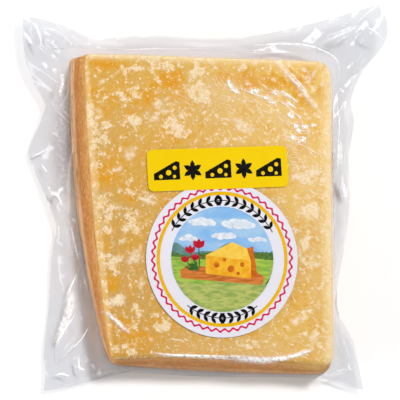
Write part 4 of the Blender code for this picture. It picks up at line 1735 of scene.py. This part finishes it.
    def strays(self, seed: int, spacing: float, height: float) -> list[Raised]:
        """Returns points scattered over the whole bag, about as far apart as the spacing.

        Args:
            seed: The number that fixes the scatter.
            spacing: The distance between points, in millimetres.
            height: How far a point may lie above or below the sheet, in millimetres.

        Returns:
            Each point's place and height, in millimetres.
        """
        chance = random.Random(seed)
        found = []
        half_x, half_y = self.scatter_mm
        for row in range(int(2 * half_y / spacing)):
            for column in range(int(2 * half_x / spacing)):
                x = -half_x + (column + chance.uniform(0.05, 0.95)) * spacing
                y = -half_y + (row + chance.uniform(0.05, 0.95)) * spacing
                found.append((x, y, chance.uniform(-height, height)))
        return found

    def corner_share(self, places: np.ndarray) -> np.ndarray:
        """Finds how near each place is to one of the bag's four corners.

        Args:
            places: The places, one (x, y) row each.

        Returns:
            One number for each place, from 0.35 to 1.
        """
        near = np.zeros(len(places))
        for index, (x, y) in enumerate(self.form.tips_mm):
            root = self.form.root(float(index))[0]
            middle = root.lerp(Vector((x * MM, y * MM)), 0.35)
            away = np.hypot(places[:, 0] - middle.x, places[:, 1] - middle.y)
            near = np.maximum(near, np.exp(-((away / self.corner_reach) ** 2)))
        return 0.35 + 0.65 * near

    def along_crinkles(self, places: np.ndarray) -> np.ndarray:
        """Turns and squeezes places, so that what is round there runs along the crinkles.

        Args:
            places: The places, one (x, y) row each.

        Returns:
            The turned places.
        """
        cosine, sine = math.cos(self.crinkle_turn), math.sin(self.crinkle_turn)
        along = places[:, 0] * cosine + places[:, 1] * sine
        across = -places[:, 0] * sine + places[:, 1] * cosine
        return np.stack((along * self.crinkle_stretch, across), axis=1)

    def crinkles(self) -> Facets:
        """Returns the fine wrinkles of the film on the cheese."""
        return Facets(self.strays(self.crinkle_seed, 1.7, 0.16))


class Stencil:
    """Outlines of printed shapes, in millimetres, anticlockwise round the sticker's middle."""

    @staticmethod
    def moved(outline: Outline, x: float, y: float, turn: float = 0.0, size: float = 1.0) -> Outline:
        """Returns the outline turned by some degrees, made larger, and moved."""
        cosine, sine = size * math.cos(math.radians(turn)), size * math.sin(math.radians(turn))
        return [(x + u * cosine - v * sine, y + u * sine + v * cosine) for u, v in outline]

    @staticmethod
    def at(radius: float, degrees: float) -> Point:
        """Returns the point this far from the origin, at an angle."""
        return (radius * math.cos(math.radians(degrees)), radius * math.sin(math.radians(degrees)))

    @staticmethod
    def disc(radius: float, count: int = 24) -> Outline:
        """Returns a round outline."""
        angles = [math.tau * step / count for step in range(count)]
        return [(radius * math.cos(angle), radius * math.sin(angle)) for angle in angles]

    @staticmethod
    def leaf(length: float, width: float, count: int = 8) -> Outline:
        """Returns a leaf that runs from the origin along X, pointed at both ends."""
        swell = [width / 2 * math.sin(math.pi * i / count) for i in range(count)]
        lower = [(length * i / count, -half) for i, half in enumerate(swell)]
        return lower + [(length * (1 - i / count), half) for i, half in enumerate(swell)]

    @staticmethod
    def arc_strip(radius: float, width: float, start: float, end: float, count: int = 40) -> Outline:
        """Bends a strip round the origin.

        Args:
            radius: The radius of its middle line.
            width: Its width.
            start: The angle where it starts.
            end: The angle where it ends.
            count: How many parts it is drawn in.

        Returns:
            The strip's outline.
        """
        angles = [start + (end - start) * i / count for i in range(count + 1)]
        outer = [Stencil.at(radius + width / 2, angle) for angle in angles]
        return outer + [Stencil.at(radius - width / 2, angle) for angle in reversed(angles)]

    @staticmethod
    def below(radius: float, skyline: Callable[[float], float], count: int = 48) -> Outline:
        """Cuts off the part of a disc that lies below a skyline.

        Args:
            radius: The disc's radius.
            skyline: What gives the skyline's height for each X.
            count: How many parts each half of the disc is drawn in.

        Returns:
            The part's outline.
        """
        top = []
        for step in range(count + 1):
            x = radius * math.cos(math.pi * step / count)
            limit = math.sqrt(max(0.0, radius * radius - x * x))
            top.append((x, max(-limit, min(limit, skyline(x)))))
        bottom = []
        for step in range(1, count):
            angle = math.pi + math.pi * step / count
            x, y = radius * math.cos(angle), radius * math.sin(angle)
            if y < skyline(x) - 0.2:
                bottom.append((x, y))
        kept = [point for i, point in enumerate(top) if i == 0 or math.dist(point, top[i - 1]) > 0.05]
        return kept + bottom

    @staticmethod
    def cloud(width: float, seed: int) -> list[Outline]:
        """Draws the puffs of a cloud, flat underneath.

        Args:
            width: The cloud's width.
            seed: The number that fixes its puffs.

        Returns:
            The puffs' outlines.
        """
        chance = random.Random(seed)
        puffs = []
        for step in range(7):
            share = (step + 0.5) / 7
            size = width * (0.10 + 0.11 * math.sin(math.pi * share)) * chance.uniform(0.8, 1.2)
            puff = [(x, y * 0.7) for x, y in Stencil.disc(size, 16)]
            rise = 0.35 * size + chance.uniform(-0.2, 0.5)
            puffs.append(Stencil.moved(puff, width * (share - 0.5), rise))
        return puffs


@dataclass
class Sticker:
    """A sticker on the film: where it lies, and how its paper and inks are laid on it."""

    form: PackForm
    centre: Vector
    turn: float = 0.0
    lift: float = 0.10 * MM
    paper: float = 0.16 * MM
    ink: float = 0.02 * MM
    pitch: float = 3.2 * MM

    def height(self, x: float, y: float) -> float:
        """Returns the height of what is under the sticker."""
        return self.form.face(x, y) + self.lift

    def place(self, outline: Outline) -> Outline:
        """Returns an outline in millimetres round the sticker's middle as places in the pack."""
        cosine, sine = math.cos(self.turn) * MM, math.sin(self.turn) * MM
        middle = self.centre
        return [(middle.x + u * cosine - v * sine, middle.y + u * sine + v * cosine) for u, v in outline]

    def sheet(self, flat: Piece, level: float, thickness: float, finish: object) -> Piece:
        """Lays a flat shape on the sticker, thickens it and dresses it.

        Args:
            flat: The flat shape.
            level: How far its upper face lies above what is under the sticker.
            thickness: Its thickness.
            finish: Its finish.

        Returns:
            The shape.
        """
        Bench.dice(flat, self.pitch)
        Bench.lay(flat, lambda x, y: self.height(x, y) + level)
        Bench.thicken(flat, thickness)
        flat.data.materials.append(finish.make())
        Bench.shade(flat, 40)
        return flat

    def printed(self, name: str, outlines: Sequence[Outline], layer: int, finish: object) -> Piece:
        """Prints shapes of one ink.

        Args:
            name: The piece's name.
            outlines: The shapes' outlines, in millimetres round the sticker's middle.
            layer: How many inks deep the print is here, from 1.
            finish: The ink.

        Returns:
            The print.
        """
        shapes = [Bench.flat_shape(name, self.place(outline)) for outline in outlines]
        joined = Bench.join(name, shapes) if len(shapes) > 1 else shapes[0]
        Bench.face_up(joined)
        return self.sheet(joined, self.paper + layer * self.ink, self.ink, finish)


@dataclass
class RoundSticker(Sticker):
    """The round sticker: white paper with a wavy crimson ring, a gold ring and a plain landscape."""

    radius: float = 29.7
    wave_radius: float = 27.0
    wave_height: float = 0.50
    wave_width: float = 0.85
    wave_count: int = 50
    gold_radius: float = 25.7
    gold_width: float = 1.35
    wreath_radius: float = 22.3
    picture_radius: float = 20.0
    horizon: float = 0.5
    clouds: tuple[Station, ...] = (
        (-8, 13.2, 10, 1), (6.5, 12.4, 12, 2), (0.5, 8.2, 9, 3), (-13.2, 7.2, 7, 4), (13.8, 7, 6.5, 6),
    )
    flowers: tuple[Station, ...] = (
        (-12.6, 3.2, -9.6, 1.55), (-9.2, 5.4, -8.9, 1.75), (-14.6, -0.4, -10.6, 1.25),
        (-10.6, 0.4, -9.4, 1.3),
    )
    holes: tuple[Raised, ...] = (
        (-2.2, -2.2, 1.1), (3.4, -3.6, 1.35), (7.8, -1.9, 0.9), (0.8, -0.2, 0.7), (6.2, -5.3, 0.7),
    )

    def build(self) -> Dressed:
        """Makes the sticker.

        Returns:
            Its pieces, each with the name of its material slot. The first is the paper.
        """
        white = PaperFinish("White sticker paper", (0.72, 0.70, 0.765), (0.69, 0.67, 0.74))
        paper = Bench.flat_shape("round_sticker", self.place(Stencil.disc(self.radius, 144)))
        pieces = [(self.sheet(paper, self.paper, self.paper, white), "round_label_paper")]
        return pieces + self.rings() + self.wreaths() + self.landscape() + self.still_life()

    def rings(self) -> Dressed:
        """Prints the two rings.

        Returns:
            The rings.
        """
        crimson = PrintFinish("Crimson ink", (0.62, 0.012, 0.095), (0.54, 0.01, 0.08))
        gold = PrintFinish("Gold ink", (0.74, 0.43, 0.006), (0.70, 0.38, 0.005))
        count = self.wave_count * 12

        def wave(offset: float) -> Outline:
            """Returns the wavy line, moved outwards by an offset."""
            points = []
            for step in range(count):
                angle = math.tau * step / count
                away = self.wave_radius + self.wave_height * math.sin(self.wave_count * angle) + offset
                points.append((away * math.cos(angle), away * math.sin(angle)))
            return self.place(points)

        half = self.wave_width / 2
        wavy = Bench.flat_band("round_sticker_wavy_ring", wave(-half), wave(half))
        radii = (self.gold_radius - self.gold_width, self.gold_radius)
        inner, outer = (self.place(Stencil.disc(radius, 144)) for radius in radii)
        plain = Bench.flat_band("round_sticker_gold_ring", inner, outer)
        level = self.paper + self.ink
        return [
            (self.sheet(wavy, level, self.ink, crimson), "crimson_ink"),
            (self.sheet(plain, level, self.ink, gold), "gold_ink"),
        ]

    def wreaths(self) -> Dressed:
        """Prints two arcs of dark leaves, above and below the picture.

        Returns:
            The print.
        """
        black = PrintFinish("Black ink", (0.004, 0.004, 0.004), (0.008, 0.007, 0.006))
        shapes = []
        for start, end, count in ((152.0, 28.0, 15), (232.0, 308.0, 10)):
            middle = (start + end) / 2
            shapes.append(Stencil.arc_strip(self.wreath_radius, 0.34, min(start, end), max(start, end)))
            for step in range(count):
                angle = start + (end - start) * (step + 0.5) / count
                way = math.copysign(90.0, middle - angle)
                x, y = Stencil.at(self.wreath_radius, angle)
                for lean in (42.0, -42.0):
                    shapes.append(Stencil.moved(Stencil.leaf(3.1, 1.35), x, y, angle + way + lean))
        return [(self.printed("round_sticker_wreaths", shapes, 2, black), "black_ink")]

    def landscape(self) -> Dressed:
        """Prints the sky, the clouds, the hills and the fields.

        Returns:
            The prints.
        """
        radius = self.picture_radius
        sky = PrintFinish("Sky ink", (0.34, 0.52, 0.72), (0.20, 0.42, 0.72), 7.0, (0.5, 1.0, 1.0))
        cloud = PrintFinish("Cloud ink", (0.76, 0.77, 0.80), (0.58, 0.66, 0.76), 3.0)
        far = PrintFinish("Far hill ink", (0.14, 0.27, 0.26), (0.08, 0.19, 0.17), 2.2)
        wood = PrintFinish("Grove ink", (0.05, 0.12, 0.03), (0.11, 0.20, 0.04), 1.2)
        field_ink = PrintFinish("Field ink", (0.36, 0.50, 0.07), (0.19, 0.36, 0.05), 2.0, (0.35, 1.6, 1.0))
        meadow = PrintFinish("Meadow ink", (0.45, 0.47, 0.13), (0.22, 0.33, 0.08), 1.8, (0.4, 1.5, 1.0))

        hills = self.skyline(3.4, ((1.6, 0.28, 0.8), (0.7, 0.61, 0.0)))
        grove = self.skyline(1.3, ((0.9, 0.33, 2.6),), 0.35)
        near = self.skyline(-0.2, ((0.5, 0.22, 0.0),))
        front = self.skyline(-9.3, ((0.7, 0.3, 1.0),))
        puffs = []
        for x, y, width, seed in self.clouds:
            puffs += [Stencil.moved(puff, x, y) for puff in Stencil.cloud(width, seed)]
        prints = (
            ("picture_sky", [Stencil.disc(radius, 96)], sky),
            ("picture_clouds", puffs, cloud),
            ("picture_hills", [Stencil.below(radius, hills)], far),
            ("picture_grove", [Stencil.below(radius, grove)], wood),
            ("picture_field", [Stencil.below(radius, near)], field_ink),
            ("picture_meadow", [Stencil.below(radius, front)], meadow),
        )
        return [
            (self.printed(name, shapes, layer, ink), "picture_ink")
            for layer, (name, shapes, ink) in enumerate(prints, 1)
        ]

    def skyline(self, rise: float, waves: Sequence[Raised], trees: float = 0.0) -> Callable[[float], float]:
        """Shapes the upper edge of a hill or a field.

        Args:
            rise: Its height above the horizon.
            waves: Each wave's height, pitch and shift.
            trees: The height of the treetops on it.

        Returns:
            What gives its height for each X.
        """

        def height(x: float) -> float:
            """Returns the edge's height at X."""
            rolling = sum(high * math.sin(pitch * x + shift) for high, pitch, shift in waves)
            return self.horizon + rise + rolling + trees * abs(math.sin(1.9 * x))

        return height

    def still_life(self) -> Dressed:
        """Prints a wedge of cheese on a board, with red flowers beside it.

        Returns:
            The prints.
        """
        board_ink = PrintFinish("Board ink", (0.62, 0.20, 0.045), (0.42, 0.11, 0.02), 1.6, (0.3, 2.0, 1.0))
        gold = PrintFinish("Cheese ink", (0.80, 0.44, 0.03), (0.72, 0.31, 0.012), 3.0)
        pale = PrintFinish("Pale cheese ink", (0.82, 0.55, 0.09), (0.80, 0.47, 0.04), 3.0)
        rind = PrintFinish("Rind ink", (0.60, 0.16, 0.012), (0.46, 0.09, 0.01), 2.0)
        red = PrintFinish("Petal ink", (0.58, 0.015, 0.03), (0.36, 0.008, 0.02), 1.0)
        green = PrintFinish("Stem ink", (0.03, 0.11, 0.02), (0.06, 0.17, 0.03), 1.0)
        plank = [(-16.0, -7.4), (15.6, -9.6), (16.6, -6.6), (12.5, -4.2), (-13.5, -2.4), (-16.6, -4.6)]
        side = [(-6.5, -5.6), (11.2, -7.2), (11.2, -0.6), (-6.5, 1.4)]
        top = [(-6.5, 1.4), (11.2, -0.6), (9.6, 4.2), (4.0, 6.6)]
        crust = [(11.2, -7.2), (13.6, -5.4), (12.0, 5.0), (9.6, 4.2), (11.2, -0.6)]
        holes = [Stencil.moved(Stencil.disc(size, 14), x, y) for x, y, size in self.holes]
        stems, blooms = [], []
        for x, y, foot, size in self.flowers:
            lean = math.degrees(math.atan2(y + 5.0, x - foot))
            stems.append(Stencil.moved(Stencil.leaf(math.hypot(x - foot, y + 5.0), 0.55), foot, -5.0, lean))
            stems.append(Stencil.moved(Stencil.leaf(4.2, 1.1), foot - 0.3, -4.6, lean + 24.0))
            for turn in (55.0, 90.0, 125.0):
                blooms.append(Stencil.moved(Stencil.leaf(2.1 * size, 1.15 * size), x, y - 0.8 * size, turn))
        prints = (
            ("picture_board", [plank], 7, board_ink),
            ("picture_cheese_side", [side], 8, gold),
            ("picture_cheese_top", [top], 8, pale),
            ("picture_cheese_rind", [crust], 8, rind),
            ("picture_cheese_holes", holes, 9, rind),
            ("picture_stems", stems, 8, green),
            ("picture_blooms", blooms, 9, red),
        )
        return [(self.printed(*row), "picture_ink") for row in prints]


@dataclass
class NameSticker(Sticker):
    """The plain sticker: a yellow strip lapped over the round one, with a row of black ornaments."""

    turn: float = math.radians(3.2)
    pitch: float = 1.6 * MM
    length: float = 55.2
    width: float = 15.8
    corner: float = 2.2
    under: RoundSticker | None = None
    ramp: float = 2.0 * MM
    ornaments: tuple[float, ...] = (-20, -10, 0, 10, 20)
    holes: tuple[Raised, ...] = ((-2.5, -2, 0.75), (0.6, -0.6, 1.05), (3, 1.2, 0.8), (2.8, -2.1, 0.65))
    drop: float = 0.4

    def height(self, x: float, y: float) -> float:
        """Finds the height of what is under the sticker: the film, or the round sticker's edge.

        Args:
            x: The place along X.
            y: The place along Y.

        Returns:
            The height.
        """
        middle = self.under.centre
        away = math.hypot(x - middle.x, y - middle.y) - self.under.radius * MM
        step = smooth_step(1.0 - away / self.ramp)
        return self.form.face(x, y) + self.lift + step * (self.under.paper + 2 * self.under.ink)

    def outline(self) -> Outline:
        """Draws the strip, with rounded corners.

        Returns:
            Its outline.
        """
        points = []
        for right, up, start in ((1, -1, -90), (1, 1, 0), (-1, 1, 90), (-1, -1, 180)):
            along = right * (self.length / 2 - self.corner)
            across = up * (self.width / 2 - self.corner)
            for step in range(9):
                x, y = Stencil.at(self.corner, start + 90 * step / 8)
                points.append((along + x, across + y))
        return points

    def build(self) -> Dressed:
        """Makes the sticker.

        Returns:
            Its pieces, each with the name of its material slot. The first is the paper.
        """
        yellow = PaperFinish("Yellow sticker paper", (0.80, 0.545, 0.0015), (0.785, 0.52, 0.001))
        black = PrintFinish("Black ornament ink", (0.004, 0.004, 0.004), (0.008, 0.007, 0.006))
        ground = PrintFinish("Yellow ornament ink", (0.80, 0.545, 0.0015), (0.785, 0.52, 0.001))
        paper = Bench.flat_shape("name_sticker", self.place(self.outline()))
        wedge = [(-5.2, -3.3), (5.0, -3.3), (5.0, 3.3), (3.6, 3.7), (-5.2, -0.9)]
        dark, light = [], []
        for number, x in enumerate(self.ornaments):
            if number % 2 == 0:
                dark.append(Stencil.moved(wedge, x, -self.drop))
                for at_x, at_y, size in self.holes:
                    light.append(Stencil.moved(Stencil.disc(size, 14), x + at_x, at_y - self.drop))
            else:
                for turn in range(30, 360, 60):
                    dark.append(Stencil.moved(Stencil.leaf(3.9, 1.9), x, -self.drop, turn))
        return [
            (self.sheet(paper, self.paper, self.paper, yellow), "name_label_paper"),
            (self.printed("name_sticker_ornaments", dark, 1, black), "black_ink"),
            (self.printed("name_sticker_cutouts", light, 4, ground), "name_label_paper"),
        ]


# The studio


class Reach(Enum):
    """What a light shows on: matt surfaces, or the gloss of shiny ones."""

    MATT = "matt"
    GLOSS = "gloss"


@dataclass
class Studio:
    """Camera, table and soft lights."""

    aim: Vector
    distance: float = 1.0
    tilt: float = math.radians(15)
    towards: tuple[float, float] = (-0.9535, -0.3011)
    lens: float = 234.7
    light_distance: float = 1.3
    world: float = 0.34
    patch: float = 0.44
    patch_direction: tuple[float, float, float] = (0.247, 0.078, 0.966)

    def build_camera(self) -> Piece:
        """Makes the camera: it looks down on the pack from a little to the left, with +Y up.

        Returns:
            The camera.
        """
        lean = math.sin(self.tilt)
        back = Vector((lean * self.towards[0], lean * self.towards[1], math.cos(self.tilt)))
        right = (-back).cross(Vector((0.0, 1.0, 0.0))).normalized()
        up = right.cross(-back)
        data = bpy.data.cameras.new("Camera")
        data.lens = self.lens
        data.clip_start = 0.01
        camera = bpy.data.objects.new("Camera", data)
        turn = Matrix((right, up, back)).transposed()
        camera.matrix_world = Matrix.Translation(self.aim + self.distance * back) @ turn.to_4x4()
        bpy.context.scene.collection.objects.link(camera)
        bpy.context.scene.camera = camera
        return camera

    def build_floor(self) -> Piece:
        """Makes the table.

        Returns:
            The table.
        """
        Bench.clear()
        bpy.ops.mesh.primitive_plane_add(size=4.0)
        floor = Bench.named("table")
        floor.data.materials.append(FloorFinish().make())
        floor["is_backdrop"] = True
        return floor

    def add_light(
        self, name: str, azimuth: float, elevation: float, size: Point, watts: float, reach: Reach
    ) -> None:
        """Adds a rectangular soft light that looks at the pack.

        Args:
            name: The light's name.
            azimuth: Its direction round the pack, in degrees from +X towards +Y.
            elevation: Its direction above the table, in degrees.
            size: Its width and height.
            watts: Its power.
            reach: What it shows on.
        """
        turn, rise = math.radians(azimuth), math.radians(elevation)
        way = Vector((math.cos(rise) * math.cos(turn), math.cos(rise) * math.sin(turn), math.sin(rise)))
        data = bpy.data.lights.new(name, "AREA")
        data.shape = "RECTANGLE"
        data.size, data.size_y = size
        data.energy = watts
        light = bpy.data.objects.new(name, data)
        light.location = self.aim + self.light_distance * way
        light.rotation_euler = way.to_track_quat("Z", "Y").to_euler()
        light.visible_glossy = reach is Reach.GLOSS
        light.visible_diffuse = reach is Reach.MATT
        bpy.context.scene.collection.objects.link(light)

    def build_lights(self) -> None:
        """Makes the lights and the world."""
        self.add_light("Key softbox", 68.0, 70.0, (0.16, 0.16), 11.9, Reach.MATT)
        self.add_light("Left fill", 190.0, 12.0, (0.8, 0.4), 8.2, Reach.MATT)
        self.add_light("Right fill", 350.0, 25.0, (0.6, 0.4), 1.5, Reach.MATT)
        self.add_light("Back right window", 45.0, 57.0, (1.1, 0.30), 4.5, Reach.GLOSS)
        self.add_light("Front left window", 215.0, 46.0, (0.8, 0.25), 1.8, Reach.GLOSS)
        bpy.context.scene.world = self.ceiling()
        bpy.context.scene.view_settings.view_transform = "Standard"

    def ceiling(self) -> bpy.types.World:
        """Makes the room: white, with a brighter patch of ceiling over the table.

        Returns:
            The world.
        """
        world = bpy.data.worlds.new("Studio")
        world.use_nodes = True
        nodes, links = world.node_tree.nodes, world.node_tree.links
        coordinates = nodes.new("ShaderNodeTexCoord")
        nearness = nodes.new("ShaderNodeVectorMath")
        nearness.operation = "DOT_PRODUCT"
        nearness.inputs[1].default_value = self.patch_direction
        bright = nodes.new("ShaderNodeMapRange")
        bright.interpolation_type = "SMOOTHSTEP"
        shares = {"From Min": 0.80, "From Max": 0.97, "To Min": self.world, "To Max": self.patch}
        for name, value in shares.items():
            bright.inputs[name].default_value = value
        links.new(coordinates.outputs["Generated"], nearness.inputs[0])
        links.new(nearness.outputs["Value"], bright.inputs["Value"])
        links.new(bright.outputs["Result"], nodes["Background"].inputs["Strength"])
        nodes["Background"].inputs["Color"].default_value = (1.0, 1.0, 1.0, 1.0)
        return world


def middle_of(node: str) -> Vector:
    """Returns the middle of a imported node's box."""
    low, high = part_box(node)
    return (low + high) / 2


def main() -> None:
    """Loads the frame, builds the pack's pieces and puts them in it."""
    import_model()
    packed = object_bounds()
    form = PackForm()
    disc = RoundSticker(form, middle_of("round_label"))
    strip = NameSticker(form, middle_of("name_label"), under=disc)

    def under_stickers(places: np.ndarray) -> np.ndarray:
        """Returns how far each place lies under a sticker: 1 there, and 0 a little way outside."""
        away = np.hypot(places[:, 0] - disc.centre.x, places[:, 1] - disc.centre.y) - disc.radius * MM
        cosine, sine = math.cos(strip.turn), math.sin(strip.turn)
        offset = places - np.array((strip.centre.x, strip.centre.y))
        along = np.abs(offset @ np.array((cosine, sine))) - strip.length / 2 * MM
        across = np.abs(offset @ np.array((-sine, cosine))) - strip.width / 2 * MM
        nearest = np.minimum(away, np.maximum(along, across))
        return np.clip(1.0 - nearest / (2.5 * MM), 0.0, 1.0)

    pieces = [(CheeseChunk(form).build(), "cheese"), (FilmBag(form, under_stickers).build(), "film")]
    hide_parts("bag")
    for sticker, node in ((disc, "round_label"), (strip, "name_label")):
        sticker_pieces = sticker.build()
        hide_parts(node)
        pieces += sticker_pieces
    for piece, slot in pieces:
        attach(piece, BODY)
        log.info("%s: %d faces", piece.name, len(piece.data.polygons))

    studio = Studio(Vector((-3.5 * MM, -2.8 * MM, 12 * MM)))
    studio.build_camera()
    studio.build_floor()
    studio.build_lights()
    Bench.clear()

    boxes = {"packed": packed, "visual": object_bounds()}
    {name: [list(corner) for corner in box] for name, box in boxes.items()}


if __name__ == "__main__":
    logging.basicConfig(level=logging.INFO, format="%(message)s")
    main()
